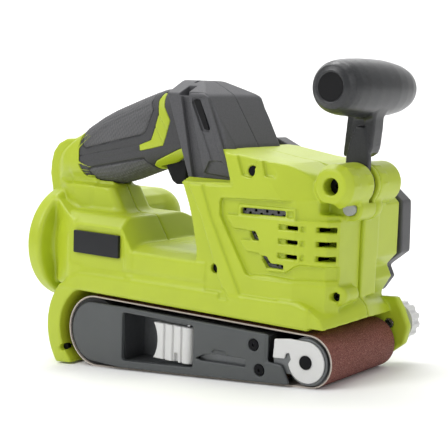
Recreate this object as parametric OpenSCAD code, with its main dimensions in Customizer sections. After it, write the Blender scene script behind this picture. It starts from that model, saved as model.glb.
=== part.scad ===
// Cordless handheld belt sander, 76 x 457 mm belt.
// Frame: +X towards the nose, +Y to the drive side, +Z up.
// Origin: midway between the roller axes, on the belt centre plane, on the sanding face.
// Most of the casing is drawn in a frame (u, y, w) that leans nose down by lean_deg.

/* [Belt and rollers] */
// Width of the sanding belt
belt_w = 76; // [74:1:76]
// Thickness of the sanding belt
belt_t = 1.0; // [0.8:0.1:1.2]
// Outer radius of the belt round the drive roller
drive_r = 23.8; // [23.4:0.1:24]
// Outer radius of the belt round the idler roller
idler_r = 15.8; // [15.4:0.1:16]
// Distance between the roller axes along X
roller_gap = 167.6; // [167:0.1:168]

/* [Casing] */
// Nose-down lean of the casing lines against the sanding face, degrees
lean_deg = 5.5; // [5.3:0.1:5.7]
// Half width of the casing
half_w = 40; // [40:0.5:41]
// Wall thickness of the casing
wall = 3; // [2.5:0.1:3.2]

/* [Rear handle] */
// Thickness of the soft grip over the handle core
grip_t = 3; // [2:0.5:3.5]

/* [Front handle] */
// Radius of the cross grip
bar_r = 17; // [15:0.5:18]
// Near end of the cross grip on the Y axis
bar_y0 = -42; // [-46:1:-38]
// Far end of the cross grip on the Y axis
bar_y1 = 45; // [40:1:50]

/* [Hidden] */
$fn = 64;
XR = -roller_gap / 2;
XF = roller_gap / 2;
ZR = drive_r;
ZF = idler_r;
uR = XR * cos(lean_deg) - ZR * sin(lean_deg);
wR = XR * sin(lean_deg) + ZR * cos(lean_deg);
uF = XF * cos(lean_deg) - ZF * sin(lean_deg);
wF = XF * sin(lean_deg) + ZF * cos(lean_deg);
pu = 90.2;   // front handle pivot, u
pw = 126.2;  // front handle pivot, w
mu = 46;     // motor axis, u
mw = 92;     // motor axis, w
bu = 93.6;   // lock button axis, u
bw = 112.6;  // lock button axis, w
motor_teeth = 16;
drive_teeth = 30;
pulley_r = 17;
rm = pulley_r * motor_teeth / drive_teeth + 0.4;  // inner radius of the timing belt on the motor pulley
rd = pulley_r + 0.4;                              // and on the driven pulley

// ---------- helpers ----------
module lean() { rotate([0, lean_deg, 0]) children(); }
// outline in the XZ plane, extruded along Y from y0 to y1
module slab(pts, y0, y1) { translate([0, y1, 0]) rotate([90, 0, 0]) linear_extrude(y1 - y0) polygon(pts); }
// round bar along Y
module bar(x, z, r, y0, y1) { translate([x, y1, z]) rotate([90, 0, 0]) cylinder(h = y1 - y0, r = r); }
// round bar along X
module xbar(y, z, r, x0, x1) { translate([x0, y, z]) rotate([0, 90, 0]) cylinder(h = x1 - x0, r = r); }
module box(x0, x1, y0, y1, z0, z1) { translate([x0, y0, z0]) cube([x1 - x0, y1 - y0, z1 - z0]); }
module ring(x, z, ro, ri, y0, y1) { difference() { bar(x, z, ro, y0, y1); bar(x, z, ri, y0 - 1, y1 + 1); } }
// side of the casing: s = -1 is the near half, s = 1 the far half
module side(s) { if (s > 0) children(); else mirror([0, 1, 0]) children(); }
// toothed wheel along Y
module toothed(x, z, n, ro, depth, y0, y1) {
  difference() {
    bar(x, z, ro, y0, y1);
    for (i = [0:n - 1]) translate([x, 0, z]) rotate([0, i * 360 / n, 0])
      box(-0.9, 0.9, y0 - 1, y1 + 1, ro - depth, ro + 3);
  }
}

// ---------- casing solids, drawn for y >= 0 and mirrored for the near half ----------
module rear_block(hw) {
  hull() {
    slab([[-131, 43], [-131, 80], [-118, 93.5], [-66, 93.5], [-55, 77.5], [-55, 43]], 0, 28);
    slab([[-108, 43], [-108, 82], [-100, 87], [-63, 87], [-52.5, 72.8], [-52.5, 43]], 28, hw);
  }
}
module mid_block(hw) {
  slab([[-56, 43], [-56, 77], [4, 77], [4, 43]], 0, 28);
  slab([[-56, 43], [-56, 72.8], [4, 72.8], [4, 43]], 27.9, hw);
}
module skirt(hw) {
  slab([[-118, 41.5], [-118, 52], [-104, 60], [70, 60], [82, 56], [82, 41.5]], 0, hw + 1);
}
module nose(hw) {
  hull() {
    slab([[60, 43], [92, 43], [90, 50], [74, 58], [60, 58]], hw, hw + 1);
    slab([[60, 46], [99.6, 47], [97.5, 54], [92.8, 59], [60, 59]], 0, 2);
  }
}
module front_block_near(hw) {
  hull() {
    slab([[-2, 50], [-2, 80], [-6, 97], [-17, 123.5], [9, 143], [34, 140.5], [60, 137], [76, 128],
          [80, 112], [80, 52]], 28, hw - 2);
    slab([[-2, 50], [-2, 80], [-6, 97], [-17, 123.5], [9, 144], [17, 143.5], [46, 139], [60, 137.5],
          [84, 128], [92.8, 112], [92.8, 52]], 0, 20);
  }
}
module front_block_far() {
  slab([[-2, 50], [-2, 80], [-6, 97], [-17, 123.5], [9, 144], [17, 143.5], [46, 139], [60, 137.5],
        [84, 131.5], [89, 127], [85.5, 119.5], [93, 112.5], [93, 80.6], [86.5, 73.2], [90, 66],
        [84, 56], [84, 50]], 0, 44);
}
module column(hw) {
  // spine from the battery flange up to the handle, with narrower rear ridge
  slab([[-149, 84], [-159.5, 122.7], [-157.2, 131], [-152.3, 136.8], [-144.6, 140.4], [-136.7, 141],
        [-131, 143.6], [-120, 150], [-112, 115.5], [-112, 84]], 0, 8);
  slab([[-143, 84], [-151.5, 122.7], [-149, 130], [-144, 135], [-136, 139], [-128, 142], [-119, 148],
        [-112, 113.8], [-97, 112], [-93.5, 111], [-82.5, 93], [-110, 84]], 0, hw - 1);
}
module flange() { translate([0, 0, 67.6]) xbar(0, 0, 40.3, -150, -137); }
module flange_neck() { translate([0, 0, 67.6]) xbar(0, 0, 27, -138, -125); }
module handle_sections(d) {
  hull() { for (s = [[-124, 131, 18.8, 16], [-84, 141.8, 26.2, 17.5]]) station(s, d); }
  hull() { for (s = [[-84, 141.8, 26.2, 17.5], [-58, 151.3, 26, 18]]) station(s, d); }
  hull() { for (s = [[-58, 151.3, 26, 18], [-20, 157.4, 24.2, 18]]) station(s, d); }
}
module station(s, d) {
  for (k = [-1, 1]) translate([0, 0, s[1] + k * (s[2] - s[3])]) xbar(0, 0, s[3] - d, s[0], s[0] + 0.5, $fn = 32);
}
module cap_solid(d) {
  hull() {
    slab([[-36 + d, 176 - d], [-17 + d, 123.5], [16 - d, 123.5], [7.5 - d, 144.5], [-5 - d, 175.5 - d]], -30 + d, 30 - d);
    slab([[-38 + d, 184 - d], [-20.7, 184 - d], [-9 - d, 178 - d]], -11.5 + d, 11.5 - d);
    slab([[15.2 - d, 144.3], [15.8 - d, 123.5]], -24.5 + d, 24.5 - d);
  }
}
guard_pts = [[-59.5, 127.5], [-58, 123], [-48, 126.2], [-36.6, 133.2], [-28, 137], [-28, 142], [-36, 139.4], [-50.5, 133.4], [-56, 130.8]];
module trigger_well() { box(-55.6, -33.4, -9.4, 9.4, 105, 141); }

// outline of the ring that wraps the rear of the belt
module fender(hw) {
  difference() {
    intersection() {
      ring(uR, wR, 43, 30.5, 0, hw);
      slab([[-135, 44], [-85, 44], [-85, 30], [-112, 15.66], [-104, -14.5], [-124, -16], [-135, 0]], 0, hw);
    }
    lean_back() box(-140, -60, -1, hw + 1, -30, 1.2);
  }
}
// turns a body drawn level back into the leaning frame
module lean_back() { rotate([0, -lean_deg, 0]) children(); }

cavity_pts = [[3, 62], [3, 118], [16, 139], [34, 136.5], [58, 133], [72, 121], [80, 110], [80, 62]];
board_pts = [[-47, 61], [-47, 72], [4, 72], [4, 61]];

module battery_socket() {
  // stem socket for the battery, open at the rear
  translate([-151, -19, 46]) cube([59, 38, 46]);
  // recess for the contact block
  translate([-92.2, -15, 50]) cube([9.2, 30, 38]);
}
module handle_cuts() {
  // room for the trigger and its switch
  trigger_well();
  box(-68, -38, -9.5, 9.5, 140.5, 161);
  slab(guard_pts, -40, 40);
  cap_solid(0);
}
module barrel_slot() {
  bar(pu, pw, 13.6, -7.4, -2.6);
  box(pu - 8.6, pu + 10, -7.4, -2.6, pw, pw + 18);
}
module barrel_bores() {
  bar(pu, pw, 3.6, -24, 24);
  bar(pu, pw, 5, -40, -23.9);
  bar(bu, bw, 3.9, -26, -4);
}
module vent_cuts() {
  // long slot, slanted slot and hooked slot, with the mesh behind them
  slab([[29.5, 105.2], [29.5, 109.2], [61.5, 109.6], [61.5, 106.2]], -50, -30);
  slab([[36, 95.8], [41.2, 95.8], [44.3, 90.5], [39.2, 90.5]], -50, -30);
  slab([[44.6, 82], [49.6, 82], [53, 78], [61.8, 78], [61.8, 75.2], [50, 75.2]], -50, -30);
  for (w = [100.3, 91.9, 83.3]) {
    box(61.6, 70.6, -50, -30, w - 1.3, w + 1.3);
    box(81, 88, -50, -18, w - 1.6, w + 1.6);
  }
}
module screw_holes(s) {
  y0 = -46; y1 = -34;
  side(s > 0 ? -1 : 1) {
    bar(12.7, 70.3, 2.9, y0, y1);
    bar(36.7, 131.5, 2.9, y0, y1);
    bar(-113.5, 0.5, 2.3, y0, y1);
  }
}

// ---------- root body: casing ----------
module housing_right() {
  color([0.72, 0.78, 0.22]) lean() {
    difference() {
      union() {
        side(-1) { rear_block(half_w); mid_block(half_w); skirt(half_w); nose(half_w);
          front_block_near(half_w); column(18); fender(half_w); }
        intersection() { union() { flange(); flange_neck(); } box(-160, -100, -50, 0, 0, 150); }
        intersection() { handle_sections(grip_t); box(-126, -10, -40, 0, 90, 200); }
        bar(pu, pw, 13, -36, 0);
        bar(bu, bw, 7.5, -17.5, 0);
        bar(91.5, 61.7, 5.2, -24, 0);
      }
      slab(cavity_pts, -half_w + 2 + wall, 1);
      slab(board_pts, -36, 1);
      battery_socket();
      handle_cuts();
      barrel_slot();
      barrel_bores();
      vent_cuts();
      screw_holes(-1);
      bar(91.5, 61.7, 2.6, -26, -14);
      // shallow pocket round the vents
      slab([[17, 108], [17.5, 113.5], [22, 115.2], [70, 115.8], [82, 115.8], [82, 66], [41, 64], [36, 68]], -46, -37.4);
      // seat of the blank plate
      slab([[-104, 67], [-104, 83], [-63.5, 83], [-63.5, 67]], -half_w - 6, -half_w + 0.8);
    }
  }
}
module housing_left() {
  color([0.70, 0.76, 0.20]) lean() {
    difference() {
      union() {
        rear_block(44); mid_block(44); skirt(43); nose(42); front_block_far(); column(18); fender(42);
        intersection() { union() { flange(); flange_neck(); } box(-160, -100, 0, 50, 0, 150); }
        intersection() { handle_sections(grip_t); box(-126, -10, 0, 40, 90, 200); }
        bar(pu, pw, 13, 0, 34);
        bar(bu, bw, 7.5, 0, 10);
        // dust duct above the drive roller, with a round nose
        slab([[-137, 67], [-137, 99], [-131, 104.8], [-112, 104.8], [-102, 101], [-97, 95], [-96, 67]], 20, 54.5);
        translate([0, 54.5, 86]) { xbar(0, 0, 19, -137, -113); translate([-113, 0, 0]) sphere(r = 19); }
        // wall beside the belt
        lean_back() slab([[-118, 44], [-121, 12], [-108, 4], [64, 4], [74, 5], [94, 8], [104, 14.5],
                          [107.5, 25], [104, 36], [100, 44]], 41, 46);
      }
      slab(cavity_pts, -1, 41);
      slab(board_pts, -1, 36);
      battery_socket();
      handle_cuts();
      barrel_slot();
      barrel_bores();
      screw_holes(1);
      // dust port bore runs through the rear wall beside the socket
      translate([0, 54.5, 86]) xbar(0, 0, 16.45, -170, -113);
      // shaft holes
      bar(uR, wR, 9.1, 40, 48);
      bar(mu, mw, 9, 30, 48);
      lean_back() bar(94, 27, 3.06, 40, 50);
      // hole for the lock-on button
      bar(-50, 150, 4.3, 9, 24);
    }
  }
}
module half_cap(s) {
  lean() difference() {
    intersection() { cap_solid(0); box(-60, 40, s < 0 ? -40 : 0, s < 0 ? 0 : 40, 100, 200); }
    // hollow inside, closed at the top, front and sides
    hull() {
      slab([[-31, 172], [-14, 123], [10, 123], [-8, 172]], -26.8, 26.8);
      slab([[-31, 180], [-22, 180], [-12, 175], [11, 144], [11, 123], [-14, 123]], -11, 11);
    }
    // groove for the dark insert
    if (s < 0) slab([[-15.3, 171.9], [-9.6, 172.6], [-1.7, 153.4], [-6, 153.6]], -40, -28.2);
  }
}
module head_cap_right() { color([0.32, 0.32, 0.33]) half_cap(-1); }
module head_cap_left() { color([0.30, 0.30, 0.31]) half_cap(1); }
module cap_insert() {
  color([0.08, 0.08, 0.08]) lean() slab([[-15, 171.6], [-10, 172.2], [-2.2, 153.7], [-5.8, 153.9]], -29.2, -28.2);
}
accent_pts = [[-52.9, 172.5], [-53.7, 170.2], [-52.1, 162], [-55.5, 151.1], [-58.2, 144.2], [-68.3, 140.6], [-67.8, 136.5], [-48.2, 141.1], [-45.8, 147.1], [-42.5, 157.7], [-47.7, 166.3]];
module half_grip(s) {
  lean() difference() {
    intersection() { handle_sections(0);
      slab([[-121, 200], [-121, 128], [-104, 108], [-10, 108], [-10, 200]], s < 0 ? -40 : 0, s < 0 ? 0 : 40); }
    handle_sections(grip_t);
    slab(guard_pts, -40, 40);
    trigger_well();
    cap_solid(0);
    side(s) column(18);
    slab(accent_pts, s < 0 ? -40 : 16.2, s < 0 ? -16.2 : 40);
    bar(-50, 150, 4.3, 12, 24);
  }
}
module grip_right() { color([0.30, 0.30, 0.31]) half_grip(-1); }
module grip_left() { color([0.28, 0.28, 0.29]) half_grip(1); }
module grip_accents() {
  color([0.75, 0.80, 0.30]) lean() intersection() {
    union() { slab(accent_pts, -40, -16.2); slab(accent_pts, 16.2, 40); }
    difference() { handle_sections(0); cap_solid(0); bar(-50, 150, 4.3, 9, 24); }
  }
}
module trigger_guard() {
  color([0.72, 0.78, 0.22]) lean() difference() {
    intersection() { slab(guard_pts, -17.2, 17.2); handle_sections(-0.6); }
    trigger_well();
    cap_solid(0);
  }
}
module name_plate() {
  color([0.16, 0.16, 0.17]) lean() slab([[-103.5, 67.5], [-103.5, 82.4], [-64, 82.4], [-64, 67.5]], -half_w - 1.6, -half_w + 0.8);
}
module vent_mesh() {
  color([0.35, 0.35, 0.36]) lean() difference() {
    slab([[27, 103], [27, 112], [60.5, 112], [60.5, 72], [50, 72], [32, 96]], -34.8, -33.6);
    for (i = [0:7]) bar(31 + 4 * i, 107.2 + (i % 2 == 0 ? 1 : -1), 0.9, -36, -32);
    for (i = [0:2]) bar(38.5 + 2 * i, 94.8 - 1.8 * i, 0.8, -36, -32);
    for (i = [0:3]) bar(50 + 3 * i, 78.4 - 0.6 * i, 0.8, -36, -32);
  }
}
module housing_screws() {
  color([0.15, 0.15, 0.16]) lean() {
    for (p = [[12.7, 70.3], [36.7, 131.5]]) bar(p[0], p[1], 2.8, -36.5, -34);
    bar(-113.5, 0.5, 2.2, -37, -34);
    difference() { bar(91.5, 61.7, 2.5, -24.6, -14); bar(91.5, 61.7, 1.2, -25, -22.8, $fn = 6); }
  }
}

// ---------- root body: inside the casing ----------
module switch_body() {
  color([0.2, 0.2, 0.2]) lean() { box(-67, -39, -8.8, 8.8, 148, 160); box(-51, -43, -3, 3, 146.4, 148); }
}
module battery_terminals() {
  color([0.13, 0.13, 0.13]) lean() {
    box(-92, -83.4, -14.6, 14.6, 50.4, 87.6);
    for (k = [-9, -3, 3, 9]) box(-104, -92, k - 0.5, k + 0.5, 60, 78);
  }
}
module control_board() {
  color([0.1, 0.35, 0.2]) lean() {
    box(-45, -4, -30, 30, 62.5, 64.1);
    for (k = [-20, 0, 20]) box(-30, -18, k - 5, k + 5, 64.1, 69);
  }
}
module motor_can() {
  color([0.55, 0.55, 0.57]) lean() {
    difference() { bar(mu, mw, 24, -20, 34); bar(mu, mw, 21.5, -18.5, 32.5); bar(mu, mw, 7.9, -22, 36);
      for (a = [0:60:300]) translate([mu, 0, mw]) rotate([0, a, 0]) box(12, 18, -22, -18, -3, 3); }
  }
}
module motor_bearings() {
  color([0.8, 0.8, 0.82]) lean() {
    ring(mu, mw, 7.85, 4.03, -20, -15);
    ring(mu, mw, 7.85, 4.03, 29.5, 34);
  }
}
module motor_rotor() {
  color([0.5, 0.35, 0.25]) lean() {
    difference() {
      union() { bar(mu, mw, 19.5, -6, 24); bar(mu, mw, 9, -13, -7); }
      bar(mu, mw, 4, -14, 25);
      for (a = [0:30:330]) translate([mu, 0, mw]) rotate([0, a, 0]) box(14, 22, -7, 25, -1, 1);
    }
  }
}
module motor_shaft() { color([0.75, 0.75, 0.77]) lean() bar(mu, mw, 4, -31, 57); }
module cooling_fan() {
  color([0.12, 0.12, 0.12]) lean() {
    difference() {
      union() {
        bar(mu, mw, 7, -31, -22);
        bar(mu, mw, 22, -23.2, -22);
        for (a = [0:40:320]) translate([mu, 0, mw]) rotate([0, a, 0]) box(6, 22, -31, -23, -0.8, 0.8);
      }
      bar(mu, mw, 4, -32, -20);
    }
  }
}
module motor_pulley() {
  color([0.6, 0.6, 0.62]) lean() difference() {
    union() { toothed(mu, mw, motor_teeth, pulley_r * motor_teeth / drive_teeth, 1.3, 48.6, 56); bar(mu, mw, 10.6, 47.4, 48.6); }
    bar(mu, mw, 4, 46, 58);
  }
}
module driven_pulley() {
  color([0.55, 0.55, 0.57]) lean() difference() {
    toothed(uR, wR, drive_teeth, pulley_r, 1.3, 48.6, 56);
    bar(uR, wR, 5, 46, 58);
    for (a = [0:60:300]) translate([uR, 0, wR]) rotate([0, a, 0]) bar(0, 10.5, 2.6, 46, 58);
  }
}
// points on a circle, evenly spaced from angle a0 to a1
function arc(c, r, a0, a1, n) = [for (i = [0:n]) c + r * [cos(a0 + (a1 - a0) * i / n), sin(a0 + (a1 - a0) * i / n)]];
// loop of belt round both pulleys
module loop2d(d) {
  L = [mu - uR, mw - wR];
  ang = atan2(L[1], L[0]);
  off = 90 - asin((rd - rm) / norm(L));
  polygon(concat(arc([uR, wR], rd + d, ang + off, ang + 360 - off, 40), arc([mu, mw], rm + d, ang - off, ang + off, 24)));
}
module timing_belt() {
  color([0.1, 0.1, 0.1]) lean() translate([0, 55.6, 0]) rotate([90, 0, 0]) linear_extrude(6.6)
    difference() { loop2d(1.9); loop2d(0); }
}
module drive_cover() {
  outer = [[-131, 20], [-127, 46], [-116, 56], [-96, 62], [-76, 65], [-52, 72], [-10, 146], [-3, 148], [15, 139.8],
           [42, 135.5], [70, 134.5], [77, 133], [84, 128], [82, 122.5], [93.6, 113], [94.4, 81],
           [81.4, 70.5], [84.7, 63.7], [78, 54], [40, 50], [0, 37], [-50, 4], [-66, -3.4], [-82, -5.9], [-104, -3], [-120, 3]];
  inner = [[-117, 20], [-112, 44], [-96, 54], [-50, 66], [-6, 120], [0, 126], [60, 120], [78, 110], [78, 84],
           [66, 66], [40, 62], [-10, 40], [-50, 16], [-80, 4], [-106, 4]];
  color([0.32, 0.32, 0.34]) lean() {
    hull_free_cover(outer, inner);
  }
}
module hull_free_cover(outer, inner) {
  difference() {
    union() {
      slab(outer, 46.2, 58);
      slab([for (p = outer) [p[0] * 0.965 - 0.8, 66 + (p[1] - 66) * 0.95]], 57.9, 62);
    }
    slab(inner, 45, 59);
    translate([0, 59, 0]) rotate([90, 0, 0]) linear_extrude(14) loop2d(3.2);
    lean_back() bar(94, 27, 20, 44, 64);
    translate([0, 54.5, 86]) { xbar(0, 0, 19.6, -150, -113); translate([-113, 0, 0]) sphere(r = 19.6); }
    for (p = cover_screws) bar(p[0], p[1], 2.1, 45, 70);
  }
}
cover_screws = [[-122, 30], [86, 76 + 22], [-2, 139], [72, 64]];
module drive_cover_screws() {
  color([0.6, 0.6, 0.62]) lean() for (p = cover_screws)
    difference() { union() { bar(p[0], p[1], 2, 46.3, 62); bar(p[0], p[1], 3.4, 62, 63.6); }
      bar(p[0], p[1], 1.3, 62.6, 65, $fn = 6); }
}
module dust_port() {
  color([0.3, 0.3, 0.31]) lean() translate([0, 54.5, 86]) difference() {
    union() { xbar(0, 0, 16.4, -164, -115); xbar(0, 0, 16.9, -140, -137.2); }
    xbar(0, 0, 14.5, -165, -118);
    xbar(0, 0, 9, -119, -110);
  }
}

// ---------- belt frame, platen and belt, drawn level ----------
window_pts = [[-58.7, 0.9], [-58.7, 33], [0, 33], [0, 6.4]];
module belt_frame() {
  color([0.62, 0.63, 0.64]) difference() {
    union() {
      box(-57, 57, -17, 39.8, 4.6, 28);
      box(-57, 57, 39.8, 41, 6, 26);
      lean() difference() {
        slab([[-60.5, -0.8], [-60.5, 35], [54.4, 35], [54.4, 10.4], [1.5, 5]], -38.3, -16.9);
        slab(window_pts, -40, -19);
        slab([[3, 9], [3, 32], [34, 32], [34, 9]], -36.5, -15);
      }
    }
    // guide of the tension rod, and the spring's pocket
    xbar(5, 17, 4.06, -30, 60);
    xbar(5, 17, 7.6, 34, 60);
    xbar(5, 17, 6, -60, -18);
    // weight savers, open to the far side
    box(-50, -24, 14, 45, 8, 25);
    box(-18, 28, 14, 45, 8, 25);
    for (p = [[45.3, 28.4], [50, 13.8]]) lean() bar(p[0], p[1], 1.6, -40, -28);
  }
}
module side_plate() {
  color([0.30, 0.31, 0.31]) difference() {
    union() {
      lean() slab([[uR, 35.4], [-60, 36.3], [55.4, 36.3], [55.4, 20], [65.5, 19.3], [70.5, 10.6], [70.5, 8.6], [1, 1.6],
                   [-60, -3.9], [uR, -4.1]], -42, -38.5);
      bar(XR, ZR, 19.8, -42, -38.5);
    }
    box(-120, 120, -50, 0, -20, 1.6);
    lean() {
      slab(window_pts, -50, -30);
      slab([[7.5, 15.4], [8, 18.5], [26, 17.5], [50, 16.6], [50, 11.2], [30, 12.6]], -50, -40.2);
      for (p = [[45.3, 28.4], [50, 13.8]]) { bar(p[0], p[1], 3.8, -50, -40.4); bar(p[0], p[1], 1.6, -50, -30); }
    }
    // room behind the plate for the front yoke to slide back
    lean() box(52, 80, -39.9, -38, -10, 50);
    // slope towards the rear end
    lean() translate([-64, -42, 0]) rotate([0, 0, 176]) box(0, 50, -0.01, 8, -20, 60);
  }
}
module side_plate_screws() {
  color([0.12, 0.12, 0.12]) lean() for (p = [[45.3, 28.4], [50, 13.8]]) difference() {
    union() { bar(p[0], p[1], 1.55, -40.4, -30); bar(p[0], p[1], 3.2, -41.6, -40.4); }
    bar(p[0], p[1], 1.2, -43, -40.9, $fn = 6);
  }
}
module platen_pad() { color([0.45, 0.33, 0.2]) box(-56, 60, -36.5, 36.5, 1.9, 4.6); }
module platen() { color([0.7, 0.7, 0.72]) difference() { box(-58, 63, -37, 37, 1.1, 1.9); } }
module belt2d(d) {
  r1 = drive_r - d;
  r2 = idler_r - d;
  top = atan2(ZF - ZR, roller_gap) + 90 - asin((drive_r - idler_r) / norm([roller_gap, ZR - ZF]));
  polygon(concat(arc([XR, ZR], r1, top, 270, 56), arc([XF, ZF], r2, -90, top, 56)));
}
module sanding_belt() {
  color([0.49, 0.28, 0.24]) translate([0, belt_w / 2, 0]) rotate([90, 0, 0]) linear_extrude(belt_w)
    difference() { belt2d(0); belt2d(belt_t); }
}
module drive_roller() {
  color([0.2, 0.2, 0.2]) difference() { bar(XR, ZR, drive_r - belt_t - 0.3, -37, 37); bar(XR, ZR, 5, -40, 40);
    ring(XR, ZR, 17, 9, -38, -34); }
}
module drive_shaft() { color([0.75, 0.75, 0.77]) bar(XR, ZR, 5, -37.5, 57); }
module drive_bearings() {
  color([0.8, 0.8, 0.82]) { ring(XR, ZR, 9, 5.04, 41, 46); }
}
module front_roller() {
  color([0.25, 0.25, 0.26]) difference() { bar(XF, ZF, idler_r - belt_t - 0.3, -37, 37); bar(XF, ZF, 8, -40, 40); }
}
module roller_bushes() {
  color([0.7, 0.55, 0.3]) { ring(XF, ZF, 8, 4.05, -37, -27); ring(XF, ZF, 8, 4.05, 27, 37); }
}
module front_axle() { color([0.3, 0.3, 0.31]) bar(XF, ZF, 4, -41.8, 40.4); }
module front_yoke() {
  color([0.25, 0.26, 0.26]) difference() {
    union() {
      box(60.8, 65.4, -37.6, 40.4, 8, 22);
      slab([[60.8, 8], [60.8, 22], [72, 27], [84, 27], [84, 8]], 38.4, 40.4);
      bar(XF, ZF, 13, 38.4, 40.4);
      slab([[60.8, 8], [60.8, 22], [72, 27], [84, 27], [84, 8]], -39.7, -38.4);
      bar(XF, ZF, 13.8, -39.7, -38.4);
      box(60.8, 65.4, -39.7, -37.5, 8, 22);
      xbar(5, 17, 5.4, 59.6, 61);
    }
    bar(XF, ZF, 4, -45, 45);
    xbar(5, 17, 4, 58, 61.6);
    // corner relief behind the roller
    bar(XF, ZF, 15.4, -37.6, 38.3);
  }
}
module axle_clip() {
  color([0.85, 0.85, 0.85]) lean() difference() {
    union() {
      slab([[59.8, 34.4], [59, 22.9], [67, 23.6], [68, 26.6], [70.5, 27.6], [72, 24.4], [80, 22], [84, 36.1], [70, 36]], -41.2, -39.7);
      bar(uF, wF, 12.3, -41.2, -39.7);
    }
    bar(uF, wF, 4, -45, -30);
    slab([[67.5, 22], [68, 26.6], [70.4, 27.5], [71.6, 24], [69.4, 20]], -45, -30);
  }
}
module tension_rod() { color([0.75, 0.75, 0.77]) { xbar(5, 17, 4, -14, 61.6); xbar(5, 17, 5.4, 56.6, 57.6); } }
module tension_spring() {
  color([0.7, 0.7, 0.72]) for (i = [0:6]) translate([35.6 + 2.9 * i, 5, 17]) rotate([0, 90, 0])
    rotate_extrude() translate([6, 0]) circle(r = 0.9, $fn = 16);
}
// lever that frees the belt: lies in the window, swings out about its front edge
lu = -7.4; ly = -36.3;
module tension_lever() {
  color([0.85, 0.85, 0.85]) lean() difference() {
    union() {
      slab([[-33.3, 7.4], [-33.3, 30.6], [lu, 30.6], [lu, 7.4]], ly - 5, ly + 2);
      translate([lu, ly, 7.4]) cylinder(h = 23.2, r = 5);
    }
    translate([lu, ly, 0]) cylinder(h = 40, r = 1.56);
    // scooped finger edge and grooves
    translate([-33.3 - 17, -50, 19]) rotate([-90, 0, 0]) cylinder(h = 30, r = 21);
    for (k = [-23.4, -16, -10.6]) box(k, k + 1.4, -50, ly - 4, 0, 40);
    box(-15, -12.5, -50, ly - 3, 0, 13);
  }
}
module lever_pin() { color([0.7, 0.7, 0.72]) lean() translate([lu, ly, 6.8]) cylinder(h = 25, r = 1.5); }
module tracking_screw() { color([0.7, 0.7, 0.72]) bar(94, 27, 3, 41.4, 53); }
module tracking_knob() {
  color([0.88, 0.88, 0.88]) difference() {
    union() { bar(94, 27, 12.4, 49.5, 60); bar(94, 27, 8, 47, 49.5); }
    for (a = [0:30:330]) translate([94, 0, 27]) rotate([0, a, 0]) bar(0, 13.4, 2.2, 51, 62);
    bar(94, 27, 3, 46, 53);
  }
}

// ---------- trigger and buttons ----------
module trigger() {
  color([0.14, 0.14, 0.14]) lean() {
    slab([[-51.5, 126], [-50, 123], [-46.8, 117.8], [-43.2, 115.8], [-39, 116.2], [-36.2, 118.6], [-35.4, 124], [-35.4, 137], [-53, 137], [-53, 129]], -8.8, 8.8);
    box(-51, -40, -6, 6, 136.9, 139);
  }
}
module trigger_spring() {
  color([0.7, 0.7, 0.72]) lean() for (i = [0:2]) translate([-47, 0, 140.2 + 2.3 * i])
    rotate_extrude() translate([3.4, 0]) circle(r = 0.5, $fn = 16);
}
module lock_on_button() { color([0.14, 0.14, 0.14]) lean() { bar(-50, 150, 4, 12.5, 20.5); bar(-50, 150, 4.2, 12.5, 13.5); } }
module handle_lock_button() { color([0.72, 0.72, 0.73]) lean() { bar(bu, bw, 3.8, -20, -11.5); } }

// ---------- front handle ----------
module front_handle_arm() {
  color([0.30, 0.30, 0.30]) lean() difference() {
    union() {
      slab([[80.4, 141.4], [80.4, 172], [100.4, 172], [98.4, 144], [94, 141.4]], -6, 6);
      slab([[pu - 8, pw], [pu - 8, 142], [pu + 7.6, 142], [pu + 7.6, pw]], -7, -3);
      bar(pu, pw, 11, -7, -3);
      bar(90.8, 182.4, 12.6, bar_y0 + 6, bar_y1 - 6);
    }
    bar(pu, pw, 3.56, -10, 0);
    // recessed web on both faces
    for (s = [-1, 1]) slab([[85.5, 148], [86, 164], [94.5, 164], [93, 148]], s < 0 ? -7 : 4, s < 0 ? -4 : 7);
  }
}
module front_handle_grip() {
  m = (bar_y0 + bar_y1) / 2;
  h = (bar_y1 - bar_y0) / 2;
  color([0.28, 0.28, 0.28]) lean() translate([90.8, m, 182.4]) difference() {
    rotate([90, 0, 0]) rotate_extrude($fn = 96) polygon([[12.6, -h + 6], [12.6, h - 6], [8.2, h - 6], [8.2, h], [10.5, h], [bar_r - 4, h - 1.5],
      [bar_r - 1.6, h - 5], [bar_r - 0.6, h - 14], [bar_r, 4], [bar_r, -14], [bar_r - 1.4, -h + 16], [bar_r - 4.5, -h + 5], [bar_r - 8, -h + 0.8], [8.2, -h], [8.2, -h + 6]]);
    translate([-10.4, -m - 6, -20]) cube([20, 12, 12]);
  }
}
module front_handle_cap() {
  color([0.1, 0.1, 0.1]) lean() { bar(90.8, 182.4, 8.1, bar_y0 + 0.6, bar_y0 + 6); bar(90.8, 182.4, 8.1, bar_y1 - 6, bar_y1 - 0.6); }
}
module handle_bolt() {
  color([0.7, 0.7, 0.72]) lean() difference() { union() { bar(pu, pw, 3.5, -23.9, 22); bar(pu, pw, 4.8, -27.4, -23.9); }
    bar(pu, pw, 1.8, -28, -25.4, $fn = 6); }
}

housing_right();
housing_left();
head_cap_right();
head_cap_left();
cap_insert();
grip_right();
grip_left();
grip_accents();
trigger_guard();
switch_body();
battery_terminals();
control_board();
belt_frame();
side_plate();
side_plate_screws();
platen_pad();
platen();
sanding_belt();
drive_bearings();
motor_can();
motor_bearings();
drive_cover();
drive_cover_screws();
vent_mesh();
dust_port();
housing_screws();
name_plate();
timing_belt();
handle_bolt();
lever_pin();
tension_spring();
trigger();
trigger_spring();
lock_on_button();
front_handle_arm();
front_handle_grip();
front_handle_cap();
handle_lock_button();
tension_lever();
front_yoke();
axle_clip();
front_axle();
tension_rod();
tracking_knob();
tracking_screw();
drive_roller();
drive_shaft();
driven_pulley();
front_roller();
roller_bushes();
motor_rotor();
motor_shaft();
cooling_fan();
motor_pulley();
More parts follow.
